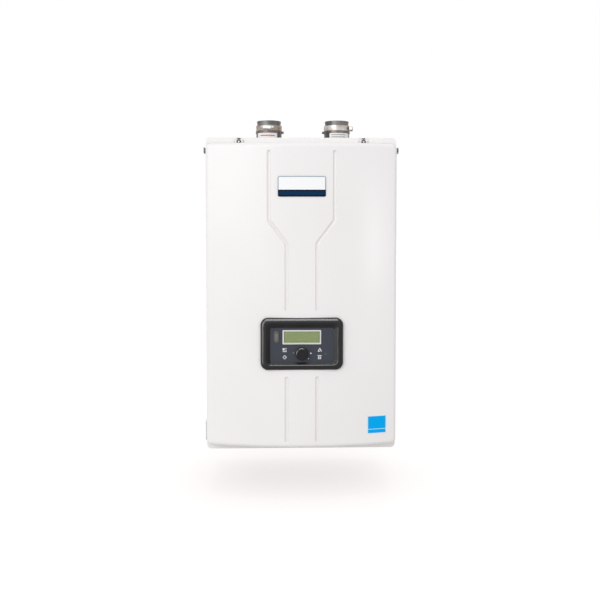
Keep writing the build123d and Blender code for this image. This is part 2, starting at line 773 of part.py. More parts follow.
def tangent_plane(vent_x, turn):
    # A plane across the worm screw: its normal runs along the screw, and its local x
    # points away from the collar
    angle = math.radians(turn)
    outward = (math.cos(angle), math.sin(angle), 0)
    along = (math.sin(angle), -math.cos(angle), 0)
    origin_x = vent_x + worm_axis_radius * outward[0]
    origin_y = vent_y + worm_axis_radius * outward[1]
    return Plane(origin=(origin_x, origin_y, band_middle_z), x_dir=outward, z_dir=along)


def clamp_band(vent_x, turn):
    # A ring with the worm housing on its outside
    with BuildPart() as clamp:
        with BuildSketch(level_plane(band_low_z, vent_x, vent_y)):
            Circle(band_outer_radius)
        extrude(amount=band_width)
        with BuildSketch(tangent_plane(vent_x, turn).offset(-worm_housing_length / 2)):
            RectangleRounded(
                worm_housing_proud + 2 * band_thickness, worm_housing_height, worm_housing_proud / 3
            )
        extrude(amount=worm_housing_length)
        with BuildSketch(tangent_plane(vent_x, turn).offset(-worm_housing_length)):
            Circle(worm_screw_radius + bearing_clearance)
        extrude(amount=2 * worm_housing_length, mode=Mode.SUBTRACT)
        with BuildSketch(level_plane(band_low_z - overrun, vent_x, vent_y)):
            Circle(band_inner_radius)
        extrude(amount=band_width + 2 * overrun, mode=Mode.SUBTRACT)
    return clamp


exhaust_worm_turn = -97
intake_worm_turn = -8
pieces["exhaust_clamp"] = clamp_band(exhaust_x, exhaust_worm_turn)
pieces["intake_clamp"] = clamp_band(intake_x, intake_worm_turn)

with BuildPart() as clamp_screws:
    for vent_x, turn in ((exhaust_x, exhaust_worm_turn), (intake_x, intake_worm_turn)):
        head_offset = worm_housing_length / 2 + clearance
        with BuildSketch(tangent_plane(vent_x, turn).offset(head_offset + worm_head_height)):
            RegularPolygon(worm_head_radius, 6)
        extrude(amount=-worm_head_height)
        with BuildSketch(tangent_plane(vent_x, turn).offset(head_offset)):
            Circle(worm_screw_radius)
        extrude(amount=-worm_screw_length)
pieces["clamp_screws"] = clamp_screws

# Paper labels round the front of each collar's body
vent_label_thickness = 0.25
vent_label_glue = 0.05
vent_label_radius = collar_body_radius + vent_label_glue + vent_label_thickness / 2
vent_label_low = 8
vent_label_height = 14
exhaust_label_turn = -148
intake_label_turn = -128
vent_label_turn_span = 98
with BuildPart() as vent_labels:
    for vent_x, start in ((exhaust_x, exhaust_label_turn), (intake_x, intake_label_turn)):
        turn = math.radians(start)
        label_plane = Plane(
            origin=(vent_x, vent_y, case_height + vent_label_low),
            x_dir=(math.cos(turn), math.sin(turn), 0),
            z_dir=(math.sin(turn), -math.cos(turn), 0),
        )
        with BuildSketch(label_plane):
            with Locations((vent_label_radius, vent_label_height / 2)):
                Rectangle(vent_label_thickness, vent_label_height)
        revolve(axis=Axis((vent_x, vent_y, 0), (0, 0, 1)), revolution_arc=vent_label_turn_span)
pieces["vent_labels"] = vent_labels

# Control unit: bezel, fascia, display, board and rear housing
bezel_front_proud = 6
bezel_frame = 12
bezel_wrap = 8
bezel_edge_radius = 9
bezel_inner_edge_radius = 2.5
skirt_front_gap = 4
fascia_depth = 10
fascia_lip = 1.5
fascia_thickness = 2
fascia_rim = 3
fascia_view_width = fascia_width - 2 * fascia_rim
fascia_view_height = fascia_height - 2 * fascia_rim
fascia_gap = 0.2
fascia_corner_radius = 4
skirt_depth = 28
bezel_front_y = cover_front_y - bezel_front_proud
fascia_front_y = bezel_front_y + fascia_depth
fascia_back_y = fascia_front_y + fascia_thickness
skirt_back_y = bezel_front_y + skirt_depth
board_gap = 8
board_thickness = 1.6
board_front_y = fascia_back_y + board_gap
board_back_y = board_front_y + board_thickness

display_rise = 14.5
display_width = 86
display_height = 32
display_frame_width = 3
display_frame_proud = 1.2
display_slope = 0.6
display_window_proud = 0.5
window_gap = 0.1
display_z = control_z + display_rise
window_width = display_width - 2 * display_frame_width
window_height = display_height - 2 * display_frame_width

knob_radius = 14
knob_drop = 21.8
knob_air_gap = 1
knob_travel = 0.5
knob_shaft_radius = 3
knob_wall = 4.2
knob_flute_count = 30
knob_flute_radius = 0.7
knob_edge_radius = 3.5
encoder_size = 13
encoder_depth = 7
encoder_floor = 1
knob_z = control_z - knob_drop

button_width = 12.1
button_height = 27.2
button_side_gap = 17.5
button_x = button_side_gap - fascia_width / 2
button_rise = 15.2
button_proud = 1.5
button_flange = 1.4
button_flange_thickness = 1
button_stem_radius = 2.5
button_travel = 1.5
switch_size = 8
switch_height = 1.5
button_z = control_z + button_rise

post_radius = 3
post_inset = 7
post_spacing_x = fascia_width - 2 * post_inset
post_spacing_z = fascia_height - 2 * post_inset
board_margin = 3

with BuildPart() as control_bezel:
    with BuildSketch(front_plane(cover_front_y + bezel_wrap, 0, control_z)):
        RectangleRounded(bezel_width, bezel_height, bezel_corner_radius)
    extrude(amount=bezel_wrap + bezel_front_proud)
    fillet(control_bezel.faces().sort_by(Axis.Y)[0].edges(), radius=bezel_edge_radius)
    add(bowed_block(0), mode=Mode.SUBTRACT)
    with BuildSketch(front_plane(skirt_back_y, 0, panel_z)):
        RectangleRounded(skirt_width, skirt_height, skirt_corner_radius)
    extrude(amount=skirt_depth - skirt_front_gap)
    # The frame's inner faces slope down to the fascia
    with BuildSketch(front_plane(bezel_front_y, 0, control_z)):
        RectangleRounded(
            bezel_width - 2 * bezel_frame,
            bezel_height - 2 * bezel_frame,
            bezel_corner_radius - bezel_frame / 2,
        )
    with BuildSketch(front_plane(fascia_front_y - fascia_lip, 0, panel_z)):
        RectangleRounded(fascia_view_width, fascia_view_height, fascia_corner_radius)
    loft(mode=Mode.SUBTRACT)
    fillet(
        control_bezel.faces().sort_by(Axis.Y)[0].inner_wires()[0].edges(), radius=bezel_inner_edge_radius
    )
    with BuildSketch(front_plane(skirt_back_y + overrun, 0, panel_z)):
        RectangleRounded(fascia_view_width, fascia_view_height, fascia_corner_radius)
    extrude(amount=skirt_depth, mode=Mode.SUBTRACT)
    with BuildSketch(front_plane(skirt_back_y + overrun, 0, panel_z)):
        RectangleRounded(
            fascia_width + 2 * fascia_gap, fascia_height + 2 * fascia_gap, fascia_corner_radius
        )
    extrude(amount=skirt_back_y + overrun - fascia_front_y, mode=Mode.SUBTRACT)
pieces["control_bezel"] = control_bezel

with BuildPart() as control_fascia:
    with BuildSketch(front_plane(fascia_back_y, 0, panel_z)):
        RectangleRounded(fascia_width, fascia_height, fascia_corner_radius)
    extrude(amount=fascia_thickness)
    with BuildSketch(front_plane(fascia_back_y, 0, panel_z)):
        with GridLocations(post_spacing_x, post_spacing_z, 2, 2):
            Circle(post_radius)
    extrude(amount=-board_gap)
    with BuildSketch(front_plane(fascia_back_y + overrun)):
        with Locations((0, display_z)):
            Rectangle(window_width + 2 * window_gap, window_height + 2 * window_gap)
        with Locations((0, knob_z)):
            Circle(knob_shaft_radius + clearance)
        with Locations((button_x, button_z)):
            SlotOverall(button_height + 2 * clearance, button_width + 2 * clearance, rotation=90)
    extrude(amount=fascia_thickness + 2 * overrun, mode=Mode.SUBTRACT)
pieces["control_fascia"] = control_fascia

with BuildPart() as display_frame:
    with BuildSketch(front_plane(fascia_front_y, 0, display_z)):
        RectangleRounded(display_width, display_height, display_frame_width / 2)
    extrude(amount=display_frame_proud)
    chamfer(display_frame.faces().sort_by(Axis.Y)[0].edges(), length=display_slope)
    with BuildSketch(front_plane(fascia_front_y + overrun, 0, display_z)):
        Rectangle(window_width, window_height)
    extrude(amount=display_frame_proud + 2 * overrun, mode=Mode.SUBTRACT)
pieces["display_frame"] = display_frame

with BuildPart() as display_window:
    with BuildSketch(front_plane(fascia_back_y, 0, display_z)):
        Rectangle(window_width - 2 * window_gap, window_height - 2 * window_gap)
    extrude(amount=fascia_thickness + display_window_proud)
pieces["display_window"] = display_window

with BuildPart() as lcd_module:
    with BuildSketch(front_plane(board_front_y, 0, display_z)):
        Rectangle(display_width, display_height)
    extrude(amount=board_gap)
pieces["lcd_module"] = lcd_module

with BuildPart() as control_board:
    with BuildSketch(front_plane(board_back_y, 0, panel_z)):
        Rectangle(fascia_width - 2 * board_margin, fascia_height - 2 * board_margin)
    extrude(amount=board_thickness)
    with BuildSketch(front_plane(board_front_y, button_x, button_z)):
        Rectangle(switch_size, switch_size)
    extrude(amount=switch_height)
pieces["control_board"] = control_board

# Rear housing: a plate on the skirt with posts that carry the board
housing_thickness = 2
with BuildPart() as control_housing:
    with BuildSketch(front_plane(skirt_back_y + housing_thickness, 0, panel_z)):
        RectangleRounded(skirt_width, skirt_height, skirt_corner_radius)
    extrude(amount=housing_thickness)
    with BuildSketch(front_plane(skirt_back_y, 0, panel_z)):
        with GridLocations(post_spacing_x, post_spacing_z, 2, 2):
            Circle(post_radius)
    extrude(amount=skirt_back_y - board_back_y)
pieces["control_housing"] = control_housing

with BuildPart() as knob_encoder:
    with BuildSketch(front_plane(board_front_y, 0, knob_z)):
        Rectangle(encoder_size, encoder_size)
    extrude(amount=encoder_depth)
    with BuildSketch(front_plane(board_front_y - encoder_floor, 0, knob_z)):
        Circle(knob_shaft_radius + bearing_clearance)
    extrude(amount=encoder_depth, mode=Mode.SUBTRACT)
pieces["knob_encoder"] = knob_encoder

knob_back_y = fascia_front_y - knob_air_gap
knob_shaft_end_y = knob_face_y + knob_wall + knob_travel + clearance
with BuildPart() as knob_shaft:
    with BuildSketch(front_plane(board_front_y - encoder_floor - clearance, 0, knob_z)):
        Circle(knob_shaft_radius)
    extrude(amount=board_front_y - encoder_floor - clearance - knob_shaft_end_y)
pieces["knob_shaft"] = knob_shaft

with BuildPart() as control_knob:
    with BuildSketch(front_plane(knob_back_y, 0, knob_z)):
        Circle(knob_radius)
    extrude(amount=knob_back_y - knob_face_y)
    fillet(control_knob.faces().sort_by(Axis.Y)[0].edges(), radius=knob_edge_radius)
    with BuildSketch(front_plane(knob_back_y + overrun, 0, knob_z)):
        Circle(knob_shaft_radius + bearing_clearance)
    extrude(amount=knob_back_y + overrun - knob_face_y - knob_wall, mode=Mode.SUBTRACT)
    with BuildSketch(front_plane(knob_back_y + overrun, 0, knob_z)):
        with PolarLocations(knob_radius, knob_flute_count):
            Circle(knob_flute_radius)
    extrude(amount=knob_back_y + overrun - knob_face_y - knob_edge_radius, mode=Mode.SUBTRACT)
pieces["control_knob"] = control_knob

with BuildPart() as power_button:
    with BuildSketch(front_plane(fascia_back_y + clearance, button_x, button_z)):
        SlotOverall(button_height, button_width, rotation=90)
    extrude(amount=fascia_thickness + clearance + button_proud)
    fillet(power_button.faces().sort_by(Axis.Y)[0].edges(), radius=button_proud / 2)
    with BuildSketch(front_plane(fascia_back_y + clearance, button_x, button_z)):
        SlotOverall(button_height + 2 * button_flange, button_width + 2 * button_flange, rotation=90)
    extrude(amount=-button_flange_thickness)
    with BuildSketch(front_plane(fascia_back_y + clearance, button_x, button_z)):
        Circle(button_stem_radius)
    extrude(amount=-(board_gap - 2 * clearance - switch_height - button_travel))
pieces["power_button"] = power_button

# Combustion stack: burner over primary and secondary heat exchangers
stack_x = 50
stack_width = 180
stack_depth = 150
secondary_bottom_z = 250
secondary_height = 100
stack_joint = 10
primary_height = 135
burner_height = 40
burner_plate = 6
burner_width = 160
burner_depth = 130
casing_wall = 2
stack_y = case_middle_y
stack_left_x = stack_x - stack_width / 2
stack_right_x = stack_x + stack_width / 2
stack_front_y = stack_y - stack_depth / 2
stack_back_y = stack_y + stack_depth / 2
secondary_top_z = secondary_bottom_z + secondary_height
primary_bottom_z = secondary_top_z + stack_joint
primary_top_z = primary_bottom_z + primary_height
burner_top_z = primary_top_z + burner_height + burner_plate
tube_radius = 8
tube_wall = 1
tube_row_count = 5
fin_count = 12
fin_thickness = 0.8

# Flue duct from the secondary exchanger up to the exhaust collar
duct_radius = 29
duct_wall = 1.2
duct_z = secondary_bottom_z + secondary_height / 2
duct_bend_radius = 33

# Water pipes
water_pipe_radius = 7.5
water_pipe_wall = 1
pipe_bend_radius = 18


def exchanger_core(bottom_z, height):
    # A casing open at the top and bottom, crossed by tubes and fins
    row_pitch = stack_depth / tube_row_count
    with BuildPart() as core:
        with BuildSketch(level_plane(bottom_z, stack_x, stack_y)):
            Rectangle(stack_width, stack_depth)
            Rectangle(stack_width - 2 * casing_wall, stack_depth - 2 * casing_wall, mode=Mode.SUBTRACT)
        extrude(amount=height)
        fin_pitch = (stack_width - casing_wall) / (fin_count + 1)
        for fin in range(fin_count):
            fin_x = stack_left_x + casing_wall / 2 + fin_pitch * (fin + 1)
            with BuildSketch(side_plane(fin_x, stack_y, bottom_z + height / 2)):
                Rectangle(stack_depth - casing_wall, height / 2)
            extrude(amount=fin_thickness)
        with BuildSketch(side_plane(stack_left_x, stack_y, bottom_z + height / 2)):
            with GridLocations(row_pitch, 0, tube_row_count, 1):
                Circle(tube_radius)
        extrude(amount=stack_width)
        with BuildSketch(side_plane(stack_left_x + casing_wall, stack_y, bottom_z + height / 2)):
            with GridLocations(row_pitch, 0, tube_row_count, 1):
                Circle(tube_radius - tube_wall)
        extrude(amount=stack_width - 2 * casing_wall, mode=Mode.SUBTRACT)
    return core.part


def return_bends(bottom_z, height):
    # Half rings on the right that join each tube to the next
    row_pitch = stack_depth / tube_row_count
    with BuildPart() as bends:
        for pair in range(tube_row_count - 1):
            bend_y = stack_y + row_pitch * (pair - tube_row_count / 2 + 1)
            bend_z = bottom_z + height / 2
            with BuildSketch(side_plane(stack_right_x, bend_y + row_pitch / 2, bend_z)):
                Circle(tube_radius - tube_wall)
            revolve(axis=Axis((stack_right_x, bend_y, 0), (0, 0, 1)), revolution_arc=-180)
    return bends.part


hot_port_y = stack_front_y + tube_radius * 2
hot_port_z = primary_bottom_z + primary_height * 2 / 3
cold_port_x = stack_x + stack_width / 4

with BuildPart() as primary_heat_exchanger:
    add(exchanger_core(primary_bottom_z, primary_height))
    add(return_bends(primary_bottom_z, primary_height))
    # Collar that stands on the secondary exchanger
    with BuildSketch(level_plane(secondary_top_z, stack_x, stack_y)):
        Rectangle(stack_width, stack_depth)
        Rectangle(burner_width, burner_depth, mode=Mode.SUBTRACT)
    extrude(amount=stack_joint)
    with BuildSketch(side_plane(stack_left_x - overrun, hot_port_y, hot_port_z)):
        Circle(water_pipe_radius - water_pipe_wall)
    extrude(amount=casing_wall + 2 * overrun, mode=Mode.SUBTRACT)
pieces["primary_heat_exchanger"] = primary_heat_exchanger

with BuildPart() as secondary_heat_exchanger:
    add(exchanger_core(secondary_bottom_z, secondary_height))
    add(return_bends(secondary_bottom_z, secondary_height))
    with BuildSketch(level_plane(secondary_bottom_z, stack_x, stack_y)):
        Rectangle(stack_width, stack_depth)
    extrude(amount=casing_wall)
    with BuildSketch(side_plane(stack_left_x - overrun, vent_y, duct_z)):
        Circle(duct_radius - duct_wall)
    extrude(amount=casing_wall + overrun + fin_thickness, mode=Mode.SUBTRACT)
pieces["secondary_heat_exchanger"] = secondary_heat_exchanger

# Sheet bracket that ties both exchangers to the back panel
exchanger_bracket_width = 120
exchanger_bracket_margin = 20
with BuildPart() as exchanger_bracket:
    with BuildSketch(level_plane(secondary_bottom_z + exchanger_bracket_margin, stack_x, stack_back_y)):
        Rectangle(exchanger_bracket_width, back_inner_y - stack_back_y, align=(Align.CENTER, Align.MIN))
        with Locations((0, casing_wall)):
            Rectangle(
                exchanger_bracket_width - 2 * casing_wall,
                back_inner_y - stack_back_y,
                align=(Align.CENTER, Align.MIN),
                mode=Mode.SUBTRACT,
            )
    extrude(amount=primary_top_z - secondary_bottom_z - 2 * exchanger_bracket_margin)
pieces["exchanger_bracket"] = exchanger_bracket

with BuildPart() as exhaust_duct:
    with BuildLine(front_plane(vent_y)) as duct_path:
        FilletPolyline(
            (exhaust_x, collar_stub_z),
            (exhaust_x, duct_z),
            (stack_left_x, duct_z),
            radius=duct_bend_radius,
        )
    with BuildSketch(level_plane(collar_stub_z, exhaust_x, vent_y)):
        Circle(duct_radius)
        Circle(duct_radius - duct_wall, mode=Mode.SUBTRACT)
    sweep()
pieces["exhaust_duct"] = exhaust_duct

# Blower: scroll housing, impeller and motor on one axis along Y
blower_x = 60
scroll_radius = 58
scroll_wall = 4
scroll_depth = 50
scroll_front_y = 5
outlet_width = 38
inlet_radius = 22
blower_rise = 71
impeller_shaft_radius = 3
impeller_radius = 46
impeller_disc = 2
impeller_gap = 5
impeller_blade_height = 20
impeller_blade_thickness = 1.5
impeller_blade_count = 12
impeller_hub_radius = 9
impeller_eye_radius = 24
motor_radius = 30
motor_length = 42
motor_floor = 6
blower_z = burner_top_z + blower_rise
scroll_back_y = scroll_front_y + scroll_depth
scroll_middle_y = (scroll_front_y + scroll_back_y) / 2
outlet_x = blower_x - scroll_radius + outlet_width / 2
outlet_inner_width = outlet_width - 2 * scroll_wall
outlet_inner_depth = scroll_depth - 2 * scroll_wall

with BuildPart() as blower_housing:
    with BuildSketch(front_plane(scroll_back_y, blower_x, blower_z)):
        Circle(scroll_radius)
    extrude(amount=scroll_depth)
    with BuildSketch(level_plane(burner_top_z, outlet_x, scroll_middle_y)):
        Rectangle(outlet_width, scroll_depth)
    extrude(amount=blower_rise)
    with BuildSketch(front_plane(scroll_back_y - scroll_wall, blower_x, blower_z)):
        Circle(scroll_radius - scroll_wall)
    extrude(amount=scroll_depth - 2 * scroll_wall, mode=Mode.SUBTRACT)
    with BuildSketch(level_plane(burner_top_z - overrun, outlet_x, scroll_middle_y)):
        Rectangle(outlet_inner_width, outlet_inner_depth)
    extrude(amount=blower_rise + overrun, mode=Mode.SUBTRACT)
    with BuildSketch(front_plane(scroll_back_y + overrun, blower_x, blower_z)):
        Circle(inlet_radius)
    extrude(amount=scroll_wall + 2 * overrun, mode=Mode.SUBTRACT)
    with BuildSketch(front_plane(scroll_front_y + scroll_wall + clearance, blower_x, blower_z)):
        Circle(impeller_shaft_radius + clearance)
    extrude(amount=scroll_wall + overrun, mode=Mode.SUBTRACT)
pieces["blower_housing"] = blower_housing

with BuildPart() as blower_motor:
    with BuildSketch(front_plane(scroll_front_y, blower_x, blower_z)):
        Circle(motor_radius)
    extrude(amount=motor_length)
    fillet(blower_motor.faces().sort_by(Axis.Y)[0].edges(), radius=motor_floor / 2)
    with BuildSketch(front_plane(scroll_front_y + overrun, blower_x, blower_z)):
        Circle(impeller_shaft_radius + bearing_clearance)
    extrude(amount=motor_length + overrun - motor_floor, mode=Mode.SUBTRACT)
pieces["blower_motor"] = blower_motor

impeller_front_y = scroll_front_y + scroll_wall + impeller_gap
impeller_back_y = impeller_front_y + impeller_disc + impeller_blade_height
shaft_end_y = scroll_front_y - motor_length + motor_floor + clearance
blade_length = impeller_radius - impeller_eye_radius
with BuildPart() as impeller:
    with BuildSketch(front_plane(impeller_front_y + impeller_disc, blower_x, blower_z)):
        Circle(impeller_radius)
    extrude(amount=impeller_disc)
    with BuildSketch(front_plane(impeller_back_y, blower_x, blower_z)):
        Circle(impeller_hub_radius)
        with PolarLocations(impeller_eye_radius + blade_length / 2, impeller_blade_count):
            Rectangle(blade_length, impeller_blade_thickness)
    extrude(amount=impeller_blade_height)
    with BuildSketch(front_plane(impeller_back_y + impeller_disc, blower_x, blower_z)):
        Circle(impeller_radius)
        Circle(impeller_eye_radius, mode=Mode.SUBTRACT)
    extrude(amount=impeller_disc)
    with BuildSketch(front_plane(impeller_back_y, blower_x, blower_z)):
        Circle(impeller_shaft_radius)
    extrude(amount=impeller_back_y - shaft_end_y)
pieces["impeller"] = impeller

# Burner: a hollow box with a flame plate, fed through its top plate
igniter_x = stack_x - stack_width / 6
igniter_radius = 5
igniter_length = 22
igniter_rod_radius = 1.2
igniter_rod_length = 30
igniter_plate_width = 24
igniter_plate_height = 16
burner_wall = 5
burner_port_radius = 2.5
burner_port_rows = 6
igniter_z = primary_top_z + burner_height / 2
flame_plate_z = primary_top_z + burner_height * 3 / 4
burner_front_y = stack_y - burner_depth / 2
burner_inner_width = burner_width - 2 * burner_wall
burner_inner_depth = burner_depth - 2 * burner_wall
with BuildPart() as burner:
    with BuildSketch(level_plane(primary_top_z, stack_x, stack_y)):
        Rectangle(burner_width, burner_depth)
    extrude(amount=burner_height)
    # Flange that rests on the primary exchanger's casing
    with BuildSketch(level_plane(primary_top_z, stack_x, stack_y)):
        Rectangle(stack_width, stack_depth)
    extrude(amount=burner_wall)
    with BuildSketch(level_plane(primary_top_z - overrun, stack_x, stack_y)):
        Rectangle(burner_inner_width, burner_inner_depth)
    extrude(amount=burner_height + overrun, mode=Mode.SUBTRACT)
    with BuildSketch(level_plane(primary_top_z + burner_height, stack_x, stack_y)):
        Rectangle(stack_width, stack_depth)
    extrude(amount=burner_plate)
    with BuildSketch(level_plane(flame_plate_z, stack_x, stack_y)):
        Rectangle(burner_width - burner_wall, burner_depth - burner_wall)
        with GridLocations(
            burner_inner_width / burner_port_rows, burner_inner_depth / burner_port_rows,
            burner_port_rows, burner_port_rows,
        ):
            Circle(burner_port_radius, mode=Mode.SUBTRACT)
    extrude(amount=casing_wall)
    with BuildSketch(level_plane(primary_top_z + burner_height - clearance, outlet_x, scroll_middle_y)):
        Rectangle(outlet_inner_width, outlet_inner_depth)
    extrude(amount=burner_plate + overrun, mode=Mode.SUBTRACT)
    with BuildSketch(front_plane(burner_front_y + burner_wall + overrun, igniter_x, igniter_z)):
        Circle(igniter_rod_radius + clearance)
    extrude(amount=burner_wall + 2 * overrun, mode=Mode.SUBTRACT)
pieces["burner"] = burner

with BuildPart() as igniter:
    with BuildSketch(front_plane(burner_front_y, igniter_x, igniter_z)):
        Rectangle(igniter_plate_width, igniter_plate_height)
    extrude(amount=casing_wall)
    with BuildSketch(front_plane(burner_front_y, igniter_x, igniter_z)):
        Circle(igniter_radius)
    extrude(amount=igniter_length)
    with BuildSketch(front_plane(burner_front_y, igniter_x, igniter_z)):
        Circle(igniter_rod_radius)
    extrude(amount=-igniter_rod_length)
pieces["igniter"] = igniter

# Venturi mixer behind the blower, with the gas port on its right
venturi_length = 50
venturi_radius = 26
venturi_throat_radius = 15
venturi_wall = 3
gas_port_radius = 9
gas_pipe_radius = 7
gas_pipe_wall = 1
gas_port_length = 12
venturi_back_y = scroll_back_y + venturi_length
gas_port_y = scroll_back_y + venturi_length / 2
gas_port_x = blower_x + venturi_radius + gas_port_length
with BuildPart() as venturi_mixer:
    with BuildSketch(level_plane(blower_z, blower_x)):
        with BuildLine():
            Polyline(
                (0, scroll_back_y),
                (venturi_radius, scroll_back_y),
                (venturi_radius, venturi_back_y),
                (0, venturi_back_y),
                close=True,
            )
        make_face()
        with BuildLine():
            Polyline(
                (0, scroll_back_y),
                (venturi_radius - venturi_wall, scroll_back_y),
                (venturi_throat_radius, gas_port_y),
                (venturi_radius - venturi_wall, venturi_back_y),
                (0, venturi_back_y),
                close=True,
            )
        make_face(mode=Mode.SUBTRACT)
    revolve(axis=Axis((blower_x, 0, blower_z), (0, 1, 0)))
    with BuildSketch(side_plane(gas_port_x, gas_port_y, blower_z)):
        Circle(gas_port_radius)
    extrude(amount=-(gas_port_length + venturi_wall))
    with BuildSketch(side_plane(gas_port_x + overrun, gas_port_y, blower_z)):
        Circle(gas_pipe_radius - gas_pipe_wall)
    extrude(amount=-(gas_port_x + overrun - blower_x), mode=Mode.SUBTRACT)
pieces["venturi_mixer"] = venturi_mixer

# Threaded fittings, each clamped through the tray by a flange under it


def threaded_fitting(x, body_height):
    with BuildPart() as fitting:
        with BuildSketch(level_plane(tray_floor_z, x, fitting_y)):
            Circle(fitting_flange_radius)
        extrude(amount=-fitting_flange_thickness)
        with BuildSketch(level_plane(tray_floor_z, x, fitting_y)):
            Circle(thread_radius)
        extrude(amount=-(fitting_flange_thickness + thread_length))
        with BuildSketch(level_plane(tray_floor_z, x, fitting_y)):
            Circle(fitting_body_radius)
        extrude(amount=sheet + body_height)
        bore_start_z = tray_floor_z - fitting_flange_thickness - thread_length - overrun
        with BuildSketch(level_plane(bore_start_z, x, fitting_y)):
            Circle(fitting_bore_radius)
        extrude(amount=tray_top_z + body_height + overrun, mode=Mode.SUBTRACT)
        bottom_edges = fitting.faces().sort_by(Axis.Z)[0].edges()
        chamfer(bottom_edges.sort_by(SortBy.LENGTH)[-1], length=(thread_radius - fitting_bore_radius) / 3)
    return fitting


pieces["cold_fitting"] = threaded_fitting(cold_x, fitting_body_height)
pieces["hot_fitting"] = threaded_fitting(hot_x, fitting_body_height)
pieces["gas_fitting"] = threaded_fitting(gas_x, fitting_body_height)

# Flow sensor on the cold fitting, with a turbine between two bearing spiders
sensor_radius = 16
sensor_bore_radius = 10
sensor_length = 60
turbine_length = 20
turbine_vane_radius = 9.4
turbine_vane_thickness = 1.2
turbine_hub_radius = 3.5
turbine_vane_count = 6
turbine_shaft_radius = 1.25
spider_thickness = 3
spider_arm_width = 1.6
spider_hub_radius = 2.6
sensor_top_z = fitting_top_z + sensor_length
turbine_middle_z = (fitting_top_z + sensor_top_z) / 2
turbine_low_z = turbine_middle_z - turbine_length / 2
turbine_high_z = turbine_middle_z + turbine_length / 2
with BuildPart() as flow_sensor:
    with BuildSketch(level_plane(fitting_top_z, cold_x, fitting_y)):
        Circle(sensor_radius)
        Circle(sensor_bore_radius, mode=Mode.SUBTRACT)
    extrude(amount=sensor_length)
    for spider_z in (turbine_low_z - clearance - spider_thickness, turbine_high_z + clearance):
        with BuildSketch(level_plane(spider_z, cold_x, fitting_y)):
            Circle(spider_hub_radius)
            with PolarLocations(0, 3):
                Rectangle(
                    sensor_bore_radius + clearance, spider_arm_width, align=(Align.MIN, Align.CENTER)
                )
            Circle(turbine_shaft_radius + bearing_clearance, mode=Mode.SUBTRACT)
        extrude(amount=spider_thickness)
    # Necked top that takes the cold pipe
    with BuildSketch(level_plane(sensor_top_z, cold_x, fitting_y)):
        Circle(sensor_radius)
        Circle(water_pipe_radius - water_pipe_wall, mode=Mode.SUBTRACT)
    extrude(amount=-spider_thickness)
pieces["flow_sensor"] = flow_sensor

with BuildPart() as flow_turbine:
    with BuildSketch(level_plane(turbine_low_z, cold_x, fitting_y)):
        Circle(turbine_hub_radius)
        with PolarLocations(0, turbine_vane_count):
            Rectangle(turbine_vane_radius, turbine_vane_thickness, align=(Align.MIN, Align.CENTER))
    extrude(amount=turbine_length)
    with BuildSketch(level_plane(turbine_low_z - spider_thickness, cold_x, fitting_y)):
        Circle(turbine_shaft_radius)
    extrude(amount=turbine_length + 2 * spider_thickness)
pieces["flow_turbine"] = flow_turbine


def bent_tube(points, section_plane, outer_radius, wall, bend_radius):
    # A tube of straight runs and tangent bends
    with BuildPart() as tube:
        with BuildLine():
            FilletPolyline(*points, radius=bend_radius)
        with BuildSketch(section_plane):
            Circle(outer_radius)
            Circle(outer_radius - wall, mode=Mode.SUBTRACT)
        sweep()
    return tube


pieces["cold_pipe"] = bent_tube(
    [
        (cold_x, fitting_y, sensor_top_z),
        (cold_x, fitting_y, (sensor_top_z * 2 + secondary_bottom_z) / 3),
        (cold_port_x, fitting_y, (sensor_top_z + secondary_bottom_z * 2) / 3),
        (cold_port_x, fitting_y, secondary_bottom_z),
    ],
    level_plane(sensor_top_z, cold_x, fitting_y),
    water_pipe_radius,
    water_pipe_wall,
    pipe_bend_radius,
)

hot_pipe_bend_share = 0.4
hot_pipe_turn_z = fitting_top_z + fitting_y - hot_port_y
pieces["hot_pipe"] = bent_tube(
    [
        (hot_x, fitting_y, fitting_top_z),
        (hot_x, fitting_y, fitting_top_z + (hot_pipe_turn_z - fitting_top_z) * hot_pipe_bend_share),
        (hot_x, hot_port_y, hot_pipe_turn_z),
        (hot_x, hot_port_y, hot_port_z),
        (stack_left_x, hot_port_y, hot_port_z),
    ],
    level_plane(fitting_top_z, hot_x, fitting_y),
    water_pipe_radius,
    water_pipe_wall,
    pipe_bend_radius,
)

# Gas valve on the gas fitting, and the gas pipe up the right side to the venturi
valve_width = 50
valve_depth = 60
valve_height = 85
valve_coil_radius = 15
valve_coil_length = 26
gas_pipe_side_gap = 34
valve_top_z = fitting_top_z + valve_height
gas_pipe_x = side_x - gas_pipe_side_gap
gas_lead_length = 34
gas_slope_height = 40
with BuildPart() as gas_valve:
    with BuildSketch(level_plane(fitting_top_z, gas_x, fitting_y)):
        Rectangle(valve_width, valve_depth)
    extrude(amount=valve_height)
    with BuildSketch(front_plane(fitting_y - valve_depth / 2, gas_x, fitting_top_z + valve_height / 2)):
        Circle(valve_coil_radius)
    extrude(amount=valve_coil_length)
    with BuildSketch(level_plane(valve_top_z - valve_height / 4, gas_x, fitting_y)):
        Circle(gas_pipe_radius - gas_pipe_wall)
    extrude(amount=valve_height, mode=Mode.SUBTRACT)
    with BuildSketch(level_plane(fitting_top_z - overrun, gas_x, fitting_y)):
        Circle(gas_pipe_radius - gas_pipe_wall)
    extrude(amount=valve_height / 4 + overrun, mode=Mode.SUBTRACT)
pieces["gas_valve"] = gas_valve

pieces["gas_pipe"] = bent_tube(
    [
        (gas_x, fitting_y, valve_top_z),
        (gas_x, fitting_y, valve_top_z + gas_lead_length),
        (gas_pipe_x, gas_port_y, valve_top_z + gas_lead_length + gas_slope_height),
        (gas_pipe_x, gas_port_y, blower_z),
        (gas_port_x, gas_port_y, blower_z),
    ],
    level_plane(valve_top_z, gas_x, fitting_y),
    gas_pipe_radius,
    gas_pipe_wall,
    pipe_bend_radius,
)

